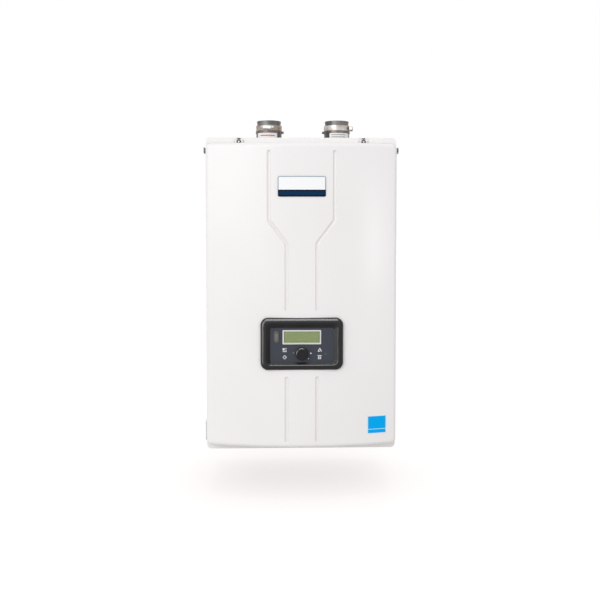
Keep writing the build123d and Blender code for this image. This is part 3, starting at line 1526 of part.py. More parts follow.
# Condensate trap: a bottle with its drain through the tray
trap_radius = 26
trap_height = 100
trap_rise = 52
trap_wall = 2
trap_shoulder = 8
trap_foot_radius = 16
trap_foot_height = 3
drain_end_z = 10
drain_nut_radius = 12
drain_nut_height = 6
condensate_x = -20
condensate_drop = 30
trap_bottom_z = tray_top_z + trap_rise
trap_top_z = trap_bottom_z + trap_height
with BuildPart() as condensate_trap:
    with BuildSketch(level_plane(trap_bottom_z, trap_x, trap_y)):
        Circle(trap_radius)
    extrude(amount=trap_height)
    fillet(condensate_trap.edges().filter_by(GeomType.CIRCLE), radius=trap_shoulder)
    with BuildSketch(level_plane(drain_end_z, trap_x, trap_y)):
        Circle(drain_radius)
    extrude(amount=trap_bottom_z - drain_end_z + trap_wall)
    with BuildSketch(level_plane(tray_top_z, trap_x, trap_y)):
        Circle(trap_foot_radius)
    extrude(amount=trap_foot_height)
    with BuildSketch(level_plane(tray_floor_z, trap_x, trap_y)):
        RegularPolygon(drain_nut_radius, 6)
    extrude(amount=-drain_nut_height)
    with BuildSketch(level_plane(trap_bottom_z + trap_shoulder, trap_x, trap_y)):
        Circle(trap_radius - trap_wall)
    extrude(amount=trap_height - 2 * trap_shoulder, mode=Mode.SUBTRACT)
    with BuildSketch(level_plane(drain_end_z - overrun, trap_x, trap_y)):
        Circle(drain_bore_radius)
    extrude(amount=trap_top_z + overrun, mode=Mode.SUBTRACT)
pieces["condensate_trap"] = condensate_trap

pieces["condensate_pipe"] = bent_tube(
    [
        (trap_x, trap_y, trap_top_z),
        (trap_x, trap_y, secondary_bottom_z - condensate_drop),
        (condensate_x, trap_y, secondary_bottom_z - condensate_drop),
        (condensate_x, trap_y, secondary_bottom_z),
    ],
    level_plane(trap_top_z, trap_x, trap_y),
    drain_radius,
    drain_radius - drain_bore_radius,
    pipe_bend_radius,
)

# Controller box screwed to the left side of the wrapper
controller_width = 100
controller_depth = 50
controller_height = 160
controller_front_gap = 14
controller_low_z = 110
controller_lid = 3
controller_edge_radius = 4
controller_front_y = case_front_y + controller_front_gap
controller_middle = (-inner_side_x + controller_width / 2, controller_front_y + controller_depth / 2)
with BuildPart() as controller_box:
    with BuildSketch(level_plane(controller_low_z, *controller_middle)):
        Rectangle(controller_width, controller_depth)
    extrude(amount=controller_height)
    fillet(controller_box.faces().sort_by(Axis.X)[-1].edges(), radius=controller_edge_radius)
    controller_middle_z = controller_low_z + controller_height / 2
    with BuildSketch(front_plane(controller_front_y, controller_middle[0], controller_middle_z)):
        Rectangle(
            controller_width - 2 * controller_edge_radius, controller_height - 2 * controller_edge_radius
        )
    extrude(amount=controller_lid)
pieces["controller_box"] = controller_box

# Power gland: a bored plug through the tray with a nut on each side
with BuildPart() as power_gland:
    with BuildSketch(level_plane(tray_floor_z, gland_x, fitting_y)):
        RegularPolygon(gland_nut_radius, 6)
    extrude(amount=-gland_nut_height)
    with BuildSketch(level_plane(tray_top_z, gland_x, fitting_y)):
        RegularPolygon(gland_nut_radius, 6)
    extrude(amount=gland_nut_height)
    with BuildSketch(level_plane(tray_floor_z, gland_x, fitting_y)):
        Circle(gland_thread_radius)
    extrude(amount=sheet)
    with BuildSketch(level_plane(tray_floor_z - gland_nut_height, gland_x, fitting_y)):
        Circle(gland_thread_radius)
    extrude(amount=-gland_nut_height / 2)
    with BuildSketch(level_plane(tray_floor_z - 2 * gland_nut_height, gland_x, fitting_y)):
        Circle(gland_bore_radius)
    extrude(amount=4 * gland_nut_height, mode=Mode.SUBTRACT)
pieces["power_gland"] = power_gland

for piece_name, piece in pieces.items():
    piece.part.label = piece_name
    export_step(piece.part, f"parts/{piece_name}.step")
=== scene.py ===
import math

import bmesh
import bpy
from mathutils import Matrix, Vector


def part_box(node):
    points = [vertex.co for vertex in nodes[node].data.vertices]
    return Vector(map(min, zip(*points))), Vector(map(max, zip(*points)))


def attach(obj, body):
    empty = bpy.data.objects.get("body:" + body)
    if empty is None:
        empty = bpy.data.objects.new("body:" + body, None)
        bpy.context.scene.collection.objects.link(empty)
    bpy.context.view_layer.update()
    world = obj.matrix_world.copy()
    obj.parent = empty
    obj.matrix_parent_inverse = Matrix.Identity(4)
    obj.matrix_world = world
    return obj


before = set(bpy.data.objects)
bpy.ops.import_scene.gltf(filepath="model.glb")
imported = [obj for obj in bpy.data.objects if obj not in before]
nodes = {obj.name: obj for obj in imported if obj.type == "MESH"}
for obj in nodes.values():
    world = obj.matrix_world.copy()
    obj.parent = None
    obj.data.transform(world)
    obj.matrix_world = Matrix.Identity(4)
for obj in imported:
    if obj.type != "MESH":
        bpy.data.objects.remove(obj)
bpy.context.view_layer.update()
mm = 0.001    # sizes below are in millimetres unless a note says otherwise, and Blender is in metres
print("frame loaded:", len(nodes), "nodes")


def linear(hexColour):
    # sRGB hex to the linear numbers a shader takes
    parts = [int(hexColour[i:i + 2], 16) / 255 for i in (1, 3, 5)]
    return [p / 12.92 if p <= 0.04045 else ((p + 0.055) / 1.055) ** 2.4 for p in parts] + [1]


def perMillimetre(size):
    # texture scale for a pattern whose features are this many millimetres across
    return 1 / (size * mm)


def addNode(owner, kind, inputs=None, **settings):
    # an input takes a number, a colour, a socket, or a node, which stands for its first output
    node = owner.node_tree.nodes.new("ShaderNode" + kind)
    for name, value in settings.items():
        setattr(node, name, value)
    for name, value in (inputs or {}).items():
        if isinstance(value, bpy.types.Node):
            value = value.outputs[0]
        if isinstance(value, bpy.types.NodeSocket):
            owner.node_tree.links.new(value, node.inputs[name])
        else:
            node.inputs[name].default_value = value
    return node


def startMaterial(name):
    material = bpy.data.materials.new(name)
    material.use_nodes = True
    material.node_tree.nodes.clear()
    return material


def finishMaterial(material, shader):
    addNode(material, "OutputMaterial", {"Surface": shader})
    return material


def paint(material, *names):
    for name in names:
        piece = nodes[name]
        piece.data.materials.clear()
        piece.data.materials.append(material)


def nodeBox(name):
    # a node's lowest and highest corners
    low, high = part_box(name)
    return [c / mm for c in low], [c / mm for c in high]


def nodeMiddle(name):
    return [(a + b) / 2 for a, b in zip(*nodeBox(name))]


def frontOf(name):
    # a flat node seen from the front: the x and z of its middle, and half its width and height
    low, high = nodeBox(name)
    x, _, z = nodeMiddle(name)
    return (x, z), ((high[0] - low[0]) / 2, (high[2] - low[2]) / 2)


def printShape(m, place, centre, half, corner, inside, outside, inset=0):
    # a rounded rectangle seen from the front, shrunk by the inset: one colour inside it, another beyond it
    parts = addNode(m, "SeparateXYZ", {"Vector": place})
    flat = addNode(m, "CombineXYZ", {"X": parts.outputs["X"], "Y": parts.outputs["Z"]})
    moved = addNode(m, "VectorMath", {0: flat, 1: (centre[0] * mm, centre[1] * mm, 0)}, operation="SUBTRACT")
    folded = addNode(m, "VectorMath", {0: moved}, operation="ABSOLUTE")
    square = ((half[0] - corner) * mm, (half[1] - corner) * mm, 0)
    past = addNode(m, "VectorMath", {0: folded, 1: square}, operation="SUBTRACT")
    pastBoth = addNode(m, "VectorMath", {0: past, 1: (0, 0, 0)}, operation="MAXIMUM")
    length = addNode(m, "VectorMath", {0: pastBoth}, operation="LENGTH")
    sides = addNode(m, "SeparateXYZ", {"Vector": past})
    nearer = addNode(m, "Math", {0: sides.outputs["X"], 1: sides.outputs["Y"]}, operation="MAXIMUM")
    inner = addNode(m, "Math", {0: nearer, 1: 0}, operation="MINIMUM")
    distance = addNode(m, "Math", {0: length.outputs["Value"], 1: inner}, operation="ADD")
    beyond = addNode(m, "Math", {0: distance, 1: (corner - inset) * mm}, operation="GREATER_THAN")
    return addNode(m, "MixRGB", {"Fac": beyond, "Color1": inside, "Color2": outside})


# Grain, lathe rings, ink and weave are drawn coarser than the real ones, so that they show close up
softDetail, fineDetail, streakDetail = 1, 2, 3    # octaves of noise: cloudy, grained, fibrous

# Steel sheet sprayed with polyester powder and baked: a satin gloss over a faint orange peel, and painted
# shade, a darker greyer colour wherever ambient occlusion finds a near wall: in grooves, folds and along
# seams
paintLook = {
    "colour": "#f0eeee",
    "shade": "#ebe8e8",
    "drift": 160,            # width of the patches of shade
    "peel": 1.6,
    "peelDepth": 0.01,
    "peelStrength": 0.25,
    "roughness": 0.25,
    "recess": "#bfb5b3",
    "reach": 6,              # how near a wall must stand to shade a recess
    "rays": 8,
}


def makePowderCoat():
    m = startMaterial("whitePowderCoatSteel")
    place = addNode(m, "TexCoord").outputs["Object"]
    drift = addNode(m, "TexNoise", {"Vector": place, "Scale": perMillimetre(paintLook["drift"]),
                                    "Detail": softDetail})
    cloudy = addNode(m, "MixRGB", {"Fac": drift, "Color1": linear(paintLook["colour"]),
                                   "Color2": linear(paintLook["shade"])})
    # painted shade: ambient occlusion pulls the colour towards the recess colour in grooves, folds and seams
    paintedShade = addNode(m, "AmbientOcclusion", {"Distance": paintLook["reach"] * mm}, samples=paintLook["rays"])
    colour = addNode(m, "MixRGB", {"Fac": paintedShade.outputs["AO"], "Color1": linear(paintLook["recess"]),
                                   "Color2": cloudy})
    peel = addNode(m, "TexNoise", {"Vector": place, "Scale": perMillimetre(paintLook["peel"]),
                                   "Detail": fineDetail})
    bump = addNode(m, "Bump", {"Height": peel, "Strength": paintLook["peelStrength"],
                               "Distance": paintLook["peelDepth"] * mm})
    shader = addNode(m, "BsdfPrincipled", {"Base Color": colour, "Roughness": paintLook["roughness"],
                                           "Normal": bump})
    return finishMaterial(m, shader)


# Hot-dip galvanised sheet: dull grey zinc with a spangle of crystals, each a little lighter or duller
spangleLook = {"crystal": 9, "dark": "#999fa2", "light": "#b4b9bb", "dull": 0.54, "bright": 0.42}


def makeGalvanised():
    m = startMaterial("hotDipGalvanisedSheet")
    place = addNode(m, "TexCoord").outputs["Object"]
    crystals = addNode(m, "TexVoronoi", {"Vector": place, "Scale": perMillimetre(spangleLook["crystal"])})
    spangle = crystals.outputs["Color"]
    tone = addNode(m, "ValToRGB", {"Fac": spangle})
    tone.color_ramp.elements[0].color = linear(spangleLook["dark"])
    tone.color_ramp.elements[1].color = linear(spangleLook["light"])
    rough = addNode(m, "MapRange", {"Value": spangle, "To Min": spangleLook["bright"],
                                    "To Max": spangleLook["dull"]})
    shader = addNode(m, "BsdfPrincipled", {"Base Color": tone, "Metallic": 1, "Roughness": rough})
    return finishMaterial(m, shader)


# Metals streaked light and dark, each streak as long along x, y and z as grain says; their making leaves the
# streaks, and on the collar they are also painted dark reflections
metalLooks = {
    # tumbled in the barrel: bluish and bright, with no direction
    "barrelZincPlatedSteel": {"light": "#dde3ea", "dark": "#a9b0b8", "grain": (0.6, 0.6, 0.6),
                              "roughness": 0.28, "spread": 0.08},
    # deep drawn: streaks along the draw, made dark and broad as painted dark reflections
    "drawnStainlessCollar": {"light": "#908e8e", "dark": "#2f2f30", "grain": (12, 12, 60),
                             "roughness": 0.4, "spread": 0.08},
    # plated over stamped steel: satin grey
    "nickelPlatedLatchSteel": {"light": "#86888b", "dark": "#5a5c5f", "grain": (0.8, 0.8, 3),
                               "roughness": 0.34, "spread": 0.08},
    # pressed from rolled sheet: fine level rolling lines
    "pressedStainlessShell": {"light": "#b9bbbd", "dark": "#8f9193", "grain": (3, 3, 0.6),
                              "roughness": 0.36, "spread": 0.1},
    # cast in sand: grainy and dull
    "sandCastAluminium": {"light": "#b4b6b8", "dark": "#8b8d90", "grain": (1.2, 1.2, 1.2),
                          "roughness": 0.52, "spread": 0.1},
    # drawn tube: warm, with faint level marks
    "drawnCopperTube": {"light": "#c7775a", "dark": "#a65a41", "grain": (4, 4, 0.8),
                        "roughness": 0.3, "spread": 0.08},
    # turned on the lathe: yellow, with fine rings
    "turnedBrass": {"light": "#c9a55c", "dark": "#a5823f", "grain": (2, 2, 0.4),
                    "roughness": 0.3, "spread": 0.08},
    # ground: bright, with lines along its length
    "groundSteelSpindle": {"light": "#c3c5c7", "dark": "#9c9ea0", "grain": (0.3, 3, 0.3),
                           "roughness": 0.26, "spread": 0.06},
}
streakLow, streakHigh = 0.3, 0.7    # where the streaks' noise mostly lies


def makeGrainedMetal(name, light, dark, grain, roughness, spread):
    m = startMaterial(name)
    place = addNode(m, "TexCoord").outputs["Object"]
    stretch = addNode(m, "Mapping", {"Vector": place, "Scale": [perMillimetre(g) for g in grain]})
    streaks = addNode(m, "TexNoise", {"Vector": stretch, "Scale": 1, "Detail": streakDetail})
    tone = addNode(m, "MixRGB", {"Fac": streaks, "Color1": linear(dark), "Color2": linear(light)})
    rough = addNode(m, "MapRange", {"Value": streaks, "From Min": streakLow, "From Max": streakHigh,
                                    "To Min": roughness - spread, "To Max": roughness + spread})
    shader = addNode(m, "BsdfPrincipled", {"Base Color": tone, "Metallic": 1, "Roughness": rough})
    return finishMaterial(m, shader)


# Moulded and coated pieces: the grain of the mould or the film softens their gloss
mouldedLooks = {
    # foamed rubber: dull and pitted
    "closedCellFoamRubber": {"colour": "#5c5450", "shade": "#463f3c", "grain": 0.9, "depth": 0.2,
                             "roughness": 0.85, "shine": 0.5},
    # spark-eroded mould: near black, with a soft sheen on its slopes
    "grainedDarkAbs": {"colour": "#242426", "shade": "#1d1d1f", "grain": 0.7, "depth": 0.02,
                       "roughness": 0.34, "shine": 0.2},
    # finer mould: an even satin
    "satinBlueGreyAbs": {"colour": "#3a3d48", "shade": "#31343e", "grain": 0.5, "depth": 0.01,
                         "roughness": 0.4, "shine": 0.22},
    # silver lacquer: a pale metallic sheen
    "silverLacqueredAbs": {"colour": "#e2e3e1", "shade": "#d6d8d6", "grain": 0.4, "depth": 0.01,
                           "roughness": 0.34, "shine": 0.5},
    # soft-touch lacquer: matt and warm
    "softTouchButton": {"colour": "#4c4a49", "shade": "#444241", "grain": 0.4, "depth": 0.02,
                        "roughness": 0.5, "shine": 0.3},
    # frosted rubber: paler, still matt
    "frostedButtonFace": {"colour": "#6d6b69", "shade": "#656361", "grain": 0.5, "depth": 0.02,
                          "roughness": 0.46, "shine": 0.5},
    # polished mould: deep black with a tight gloss
    "polishedBlackNylon": {"colour": "#101113", "shade": "#0a0a0c", "grain": 0.6, "depth": 0.01,
                           "roughness": 0.26, "shine": 0.25},
    # glass cloth under green resist: the weave shows
    "glassEpoxyLaminate": {"colour": "#1f5a38", "shade": "#174a2d", "grain": 0.8, "depth": 0.03,
                           "roughness": 0.4, "shine": 0.5},
    # waxy and even
    "greyPolypropylene": {"colour": "#8d9093", "shade": "#83868a", "grain": 0.8, "depth": 0.03,
                          "roughness": 0.5, "shine": 0.5},
    # satin black
    "blackNylon": {"colour": "#2b2b2d", "shade": "#232325", "grain": 0.7, "depth": 0.03,
                   "roughness": 0.45, "shine": 0.5},
    # stoved on the motor's can: slightly rippled
    "stovedBlackEnamel": {"colour": "#303236", "shade": "#28292c", "grain": 1.2, "depth": 0.05,
                          "roughness": 0.4, "shine": 0.5},
    # thin matt ink, and the same drawn weaker
    "screenPrintedWhiteInk": {"colour": "#e9ebee", "shade": "#d9dcdf", "grain": 0.3, "depth": 0.01,
                              "roughness": 0.5, "shine": 0.5},
    "screenPrintedGreyInk": {"colour": "#8f9198", "shade": "#83858c", "grain": 0.3, "depth": 0.01,
                             "roughness": 0.5, "shine": 0.5},
    # tinted bead: glossy
    "tealPolycarbonateLens": {"colour": "#2f8f83", "shade": "#24786e", "grain": 0.4, "depth": 0.01,
                              "roughness": 0.2, "shine": 0.5},
}
grainStrength = 0.5


def makeMoulded(name, colour, shade, grain, depth, roughness, shine):
    m = startMaterial(name)
    place = addNode(m, "TexCoord").outputs["Object"]
    fine = addNode(m, "TexNoise", {"Vector": place, "Scale": perMillimetre(grain), "Detail": fineDetail})
    tone = addNode(m, "MixRGB", {"Fac": fine, "Color1": linear(shade), "Color2": linear(colour)})
    bump = addNode(m, "Bump", {"Height": fine, "Strength": grainStrength, "Distance": depth * mm})
    shader = addNode(m, "BsdfPrincipled", {"Base Color": tone, "Roughness": roughness,
                                           "Specular IOR Level": shine, "Normal": bump})
    return finishMaterial(m, shader)


# Plate printed under clear lacquer: white field, blue-grey rim line and a navy band along the bottom
badgeLook = {
    "field": "#f6f7f8",
    "rim": "#94a3b2",
    "rimWidth": 1.7,
    "corner": 3.5,
    "band": "#0b3050",
    "bandEdge": "#020c26",
    "bandShare": 0.34,       # of the plate's height
    "bandEdgeWidth": 2.6,
    "bandCorner": 1,
    "ink": 0.6,
    "smooth": 0.2,
    "rough": 0.32,
    "shine": 0.05,
}


def makeBadge():
    centre, half = frontOf("badge_plate")
    bottom = centre[1] - half[1]
    bandHalf = (half[0], badgeLook["bandShare"] * half[1])
    bandCentre = (centre[0], bottom + bandHalf[1])
    bandTop = bottom + 2 * bandHalf[1]
    m = startMaterial("lacqueredPrintedPlate")
    place = addNode(m, "TexCoord").outputs["Object"]
    height = addNode(m, "SeparateXYZ", {"Vector": place}).outputs["Z"]
    field = printShape(m, place, centre, half, badgeLook["corner"], linear(badgeLook["field"]),
                       linear(badgeLook["rim"]), badgeLook["rimWidth"])
    band = printShape(m, place, bandCentre, bandHalf, badgeLook["bandCorner"], linear(badgeLook["band"]),
                      linear(badgeLook["bandEdge"]), badgeLook["bandEdgeWidth"])
    overBand = addNode(m, "Math", {0: height, 1: bandTop * mm}, operation="GREATER_THAN")
    whole = addNode(m, "MixRGB", {"Fac": overBand, "Color1": band, "Color2": field})
    mottle = addNode(m, "TexNoise", {"Vector": place, "Scale": perMillimetre(badgeLook["ink"])})
    rough = addNode(m, "MapRange", {"Value": mottle, "To Min": badgeLook["smooth"],
                                    "To Max": badgeLook["rough"]})
    shader = addNode(m, "BsdfPrincipled", {"Base Color": whole, "Roughness": rough,
                                           "Specular IOR Level": badgeLook["shine"]})
    return finishMaterial(m, shader)


# Screen-printed film: cyan ink with a pale cut edge and a thin unprinted line across its lower part
labelLook = {
    "ink": "#02aef6",
    "inkShade": "#03a6ee",
    "bare": "#e8f6fc",
    "edge": 0.9,
    "corner": 0.5,
    "line": 0.9,
    "lineShare": 0.245,      # of the label's height
    "lineOverrun": 9,
    "lineCorner": 0.1,
    "screen": 0.8,
    "roughness": 0.38,
    "shine": 0.05,
}


def makeCornerLabel():
    centre, half = frontOf("corner_label")
    lineCentre = (centre[0], centre[1] - half[1] + labelLook["lineShare"] * 2 * half[1])
    lineHalf = (half[0] + labelLook["lineOverrun"], labelLook["line"] / 2)
    bare = linear(labelLook["bare"])
    m = startMaterial("screenPrintedFilm")
    place = addNode(m, "TexCoord").outputs["Object"]
    screen = addNode(m, "TexNoise", {"Vector": place, "Scale": perMillimetre(labelLook["screen"])})
    ink = addNode(m, "MixRGB", {"Fac": screen, "Color1": linear(labelLook["ink"]),
                                "Color2": linear(labelLook["inkShade"])})
    lined = printShape(m, place, lineCentre, lineHalf, labelLook["lineCorner"], bare, ink)
    whole = printShape(m, place, centre, half, labelLook["corner"], lined, bare, labelLook["edge"])
    shader = addNode(m, "BsdfPrincipled", {"Base Color": whole, "Roughness": labelLook["roughness"],
                                           "Specular IOR Level": labelLook["shine"]})
    return finishMaterial(m, shader)


# Coated paper: a soft white sheet with one printed stripe on the left collar and two on the right
paperLook = {
    "paper": "#f1f0ee",
    "shade": "#e4e2e0",
    "fibre": 0.7,
    "roughness": 0.62,
    "stripeHalf": 17,
    "stripeCorner": 0.5,
    # collar, x and z from the label's middle, half the stripe's height, ink
    "stripes": (("exhaust_collar", -3, 0.6, 1.3, "#d2604e"),
                ("intake_collar", 2, 2.6, 0.8, "#8a7f86"),
                ("intake_collar", 2, -2.6, 0.8, "#8a7f86")),
}


def makePaper():
    middle = nodeMiddle("vent_labels")[2]
    m = startMaterial("coatedLabelPaper")
    place = addNode(m, "TexCoord").outputs["Object"]
    fibre = addNode(m, "TexNoise", {"Vector": place, "Scale": perMillimetre(paperLook["fibre"]),
                                    "Detail": streakDetail})
    whole = addNode(m, "MixRGB", {"Fac": fibre, "Color1": linear(paperLook["shade"]),
                                  "Color2": linear(paperLook["paper"])})
    for collar, right, up, halfHeight, ink in paperLook["stripes"]:
        centre = (nodeMiddle(collar)[0] + right, middle + up)
        half = (paperLook["stripeHalf"], halfHeight)
        whole = printShape(m, place, centre, half, paperLook["stripeCorner"], linear(ink), whole)
    shader = addNode(m, "BsdfPrincipled", {"Base Color": whole, "Roughness": paperLook["roughness"]})
    return finishMaterial(m, shader)


# Liquid crystal cell over a green reflector: a faint cell grid, a painted shadow of the frame at the right
# and below, and a pale strip below that
screenLook = {
    "lit": "#9aab74",
    "shade": "#94a56e",
    "cell": 1.4,
    # colour of the painted shadow of the frame
    "edge": "#66764a",
    "frameShadowWidth": 1.5,
    "frameShadowHeight": 1,
    "pale": "#c3d1a0",
    "paleHeight": 2,
    "overrun": 6,            # past the sides, which the pale strip leaves alone
    "corner": 0.4,
    "roughness": 0.3,
}


def makeScreen():
    centre, half = frontOf("display_window")
    corner = screenLook["corner"]
    raised = centre[1] + screenLook["paleHeight"]
    litCentre = (centre[0] - screenLook["frameShadowWidth"], raised + screenLook["frameShadowHeight"])
    wideCentre = (centre[0] - screenLook["overrun"] / 2, raised)
    wideHalf = (half[0] + screenLook["overrun"], half[1])
    m = startMaterial("greenDisplayCell")
    place = addNode(m, "TexCoord").outputs["Object"]
    cells = addNode(m, "TexVoronoi", {"Vector": place, "Scale": perMillimetre(screenLook["cell"])})
    field = addNode(m, "MixRGB", {"Fac": cells, "Color1": linear(screenLook["lit"]),
                                  "Color2": linear(screenLook["shade"])})
    # painted shadow of the frame, at the right of the field and below it
    frameShadowed = printShape(m, place, litCentre, half, corner, field, linear(screenLook["edge"]))
    whole = printShape(m, place, wideCentre, wideHalf, corner, frameShadowed, linear(screenLook["pale"]))
    shader = addNode(m, "BsdfPrincipled", {"Base Color": whole, "Roughness": screenLook["roughness"]})
    return finishMaterial(m, shader)


# Clear acrylic with a hard coat: shows the screen behind it, with a few soft wiping marks in its gloss
windowLook = {"tint": "#aab58c", "alpha": 0.16, "wiping": 14, "smooth": 0.04, "rough": 0.16}


def makeWindow():
    m = startMaterial("hardCoatedAcrylic")
    place = addNode(m, "TexCoord").outputs["Object"]
    wiping = addNode(m, "TexNoise", {"Vector": place, "Scale": perMillimetre(windowLook["wiping"]),
                                     "Detail": fineDetail})
    rough = addNode(m, "MapRange", {"Value": wiping, "To Min": windowLook["smooth"],
                                    "To Max": windowLook["rough"]})
    shader = addNode(m, "BsdfPrincipled", {"Base Color": linear(windowLook["tint"]), "Roughness": rough,
                                           "Alpha": windowLook["alpha"]})
    return finishMaterial(m, shader)


# Screw head in dark passivated steel, with a painted highlight: its middle drawn bright, fading to the dark
# rim
screwLook = {
    "dark": "#38322f",
    "mid": "#8a7a6a",
    "midPoint": 0.5,         # of the way from the bright middle to the dark rim
    "bright": "#d8dde2",
    "glintRadius": 1.7,
    "glintFadeRadius": 3.1,
    "roughness": 0.46,
}


def makeScrewHead():
    low, high = nodeBox("cover_screws")
    headX = high[0] - (high[2] - low[2]) / 2
    headZ = (low[2] + high[2]) / 2
    m = startMaterial("passivatedScrewHead")
    place = addNode(m, "TexCoord").outputs["Object"]
    parts = addNode(m, "SeparateXYZ", {"Vector": place})
    side = addNode(m, "Math", {0: parts.outputs["X"]}, operation="ABSOLUTE")
    across = addNode(m, "Math", {0: side, 1: headX * mm}, operation="SUBTRACT")
    up = addNode(m, "Math", {0: parts.outputs["Z"], 1: headZ * mm}, operation="SUBTRACT")
    flat = addNode(m, "CombineXYZ", {"X": across, "Y": up})
    radius = addNode(m, "VectorMath", {0: flat}, operation="LENGTH")
    # painted highlight: bright in the middle of each head, through the mid tone to dark at the rim
    paintedGlint = addNode(m, "MapRange", {"Value": radius.outputs["Value"],
                                     "From Min": screwLook["glintRadius"] * mm,
                                     "From Max": screwLook["glintFadeRadius"] * mm})
    tone = addNode(m, "ValToRGB", {"Fac": paintedGlint})
    tone.color_ramp.elements[0].color = linear(screwLook["bright"])
    tone.color_ramp.elements[1].color = linear(screwLook["dark"])
    tone.color_ramp.elements.new(screwLook["midPoint"]).color = linear(screwLook["mid"])
    shader = addNode(m, "BsdfPrincipled", {"Base Color": tone, "Metallic": 1,
                                           "Roughness": screwLook["roughness"]})
    return finishMaterial(m, shader)


# Rolled stainless strip: bright, with bronze patches that are painted reflections, and a row of pressed slots
# for the worm, with painted shade in them
bandLook = {
    "bright": "#cfccc8",
    "tint": "#a08c7a",
    "patch": 34,
    "patchLow": 0.4,         # of the patches' noise, where the tint starts and is full
    "patchHigh": 0.62,
    "radius": 31.2,
    "slotPitch": 3.2,
    "slotHalfHeight": 3.6,
    "slotShare": 0.34,       # of the pitch
    "slotShade": "#3a3734",
    "slotDepth": 0.4,
    "slotStrength": 0.8,
    "slotStart": 2,          # behind the collar's axis: the slots show on the half that faces the wall
    "roughness": 0.36,
}


def makeBand():
    leftX = nodeMiddle("exhaust_collar")[0]
    rightX, middleY, _ = nodeMiddle("intake_collar")
    middleZ = nodeMiddle("exhaust_clamp")[2]
    slotsPerRadian = bandLook["radius"] / bandLook["slotPitch"]
    m = startMaterial("rolledStainlessStrip")
    place = addNode(m, "TexCoord").outputs["Object"]
    parts = addNode(m, "SeparateXYZ", {"Vector": place})
    isRight = addNode(m, "Math", {0: parts.outputs["X"], 1: 0}, operation="GREATER_THAN")
    centreX = addNode(m, "MapRange", {"Value": isRight, "To Min": leftX * mm, "To Max": rightX * mm})
    across = addNode(m, "Math", {0: parts.outputs["X"], 1: centreX}, operation="SUBTRACT")
    along = addNode(m, "Math", {0: parts.outputs["Y"], 1: middleY * mm}, operation="SUBTRACT")
    turn = addNode(m, "Math", {0: along, 1: across}, operation="ARCTAN2")
    steps = addNode(m, "Math", {0: turn, 1: slotsPerRadian}, operation="MULTIPLY")
    phase = addNode(m, "Math", {0: steps}, operation="FRACT")
    narrow = addNode(m, "Math", {0: phase, 1: bandLook["slotShare"]}, operation="LESS_THAN")
    rise = addNode(m, "Math", {0: parts.outputs["Z"], 1: middleZ * mm}, operation="SUBTRACT")
    far = addNode(m, "Math", {0: rise}, operation="ABSOLUTE")
    short = addNode(m, "Math", {0: far, 1: bandLook["slotHalfHeight"] * mm}, operation="LESS_THAN")
    behind = addNode(m, "Math", {0: along, 1: bandLook["slotStart"] * mm}, operation="GREATER_THAN")
    cut = addNode(m, "Math", {0: narrow, 1: short}, operation="MULTIPLY")
    slots = addNode(m, "Math", {0: cut, 1: behind}, operation="MULTIPLY")
    # painted reflection: random bronze patches over the bright steel
    reflectionPatches = addNode(m, "TexNoise", {"Vector": place, "Scale": perMillimetre(bandLook["patch"])})
    spread = addNode(m, "MapRange", {"Value": reflectionPatches, "From Min": bandLook["patchLow"],
                                     "From Max": bandLook["patchHigh"]})
    reflectionTinted = addNode(m, "MixRGB", {"Fac": spread, "Color1": linear(bandLook["bright"]),
                                   "Color2": linear(bandLook["tint"])})
    # painted shade in the slots
    tone = addNode(m, "MixRGB", {"Fac": slots, "Color1": reflectionTinted, "Color2": linear(bandLook["slotShade"])})
    bump = addNode(m, "Bump", {"Height": slots, "Distance": bandLook["slotDepth"] * mm,
                               "Strength": bandLook["slotStrength"]}, invert=True)
    shader = addNode(m, "BsdfPrincipled", {"Base Color": tone, "Metallic": 1,
                                           "Roughness": bandLook["roughness"], "Normal": bump})
    return finishMaterial(m, shader)


metal = {name: makeGrainedMetal(name, **look) for name, look in metalLooks.items()}
moulded = {name: makeMoulded(name, **look) for name, look in mouldedLooks.items()}

paint(makePowderCoat(), "case_wrapper", "front_cover")
paint(makeGalvanised(), "back_panel", "bottom_tray", "upper_wall_bracket", "lower_wall_bracket",
      "exchanger_bracket")
paint(metal["barrelZincPlatedSteel"], "case_screws", "clamp_screws")
paint(makeScrewHead(), "cover_screws")
paint(moulded["closedCellFoamRubber"], "cover_gasket", "vent_seals")
paint(makeBadge(), "badge_plate")
paint(makeCornerLabel(), "corner_label")
paint(makePaper(), "vent_labels")
paint(metal["nickelPlatedLatchSteel"], *[name for name in nodes if name.startswith("latch_")])
paint(metal["drawnStainlessCollar"], "exhaust_collar", "intake_collar")
paint(makeBand(), "exhaust_clamp", "intake_clamp")
paint(moulded["grainedDarkAbs"], "control_bezel", "control_housing")
paint(moulded["satinBlueGreyAbs"], "control_fascia")
paint(moulded["silverLacqueredAbs"], "display_frame")
paint(makeScreen(), "lcd_module")
paint(makeWindow(), "display_window")
paint(moulded["softTouchButton"], "power_button")
paint(moulded["polishedBlackNylon"], "control_knob")
paint(metal["groundSteelSpindle"], "knob_shaft", "igniter")
paint(moulded["glassEpoxyLaminate"], "control_board")
paint(moulded["blackNylon"], "knob_encoder", "impeller", "flow_turbine")
paint(metal["pressedStainlessShell"], "primary_heat_exchanger", "secondary_heat_exchanger", "exhaust_duct",
      "burner")
paint(metal["sandCastAluminium"], "blower_housing", "venturi_mixer", "gas_valve")
paint(moulded["stovedBlackEnamel"], "blower_motor")
paint(metal["drawnCopperTube"], "cold_pipe", "hot_pipe", "gas_pipe")
paint(metal["turnedBrass"], "cold_fitting", "hot_fitting", "gas_fitting", "flow_sensor")
paint(moulded["greyPolypropylene"], "condensate_trap", "condensate_pipe", "controller_box", "power_gland")
bare = [name for name, piece in nodes.items() if not piece.data.materials or piece.data.materials[0] is None]
print("materials on:", len(nodes) - len(bare), "nodes, left:", bare)


facingFront = (math.pi / 2, 0, 0)
touching = 0.001 * mm    # for merges and cuts, because the usual 0.1 mm is too coarse for such small pieces


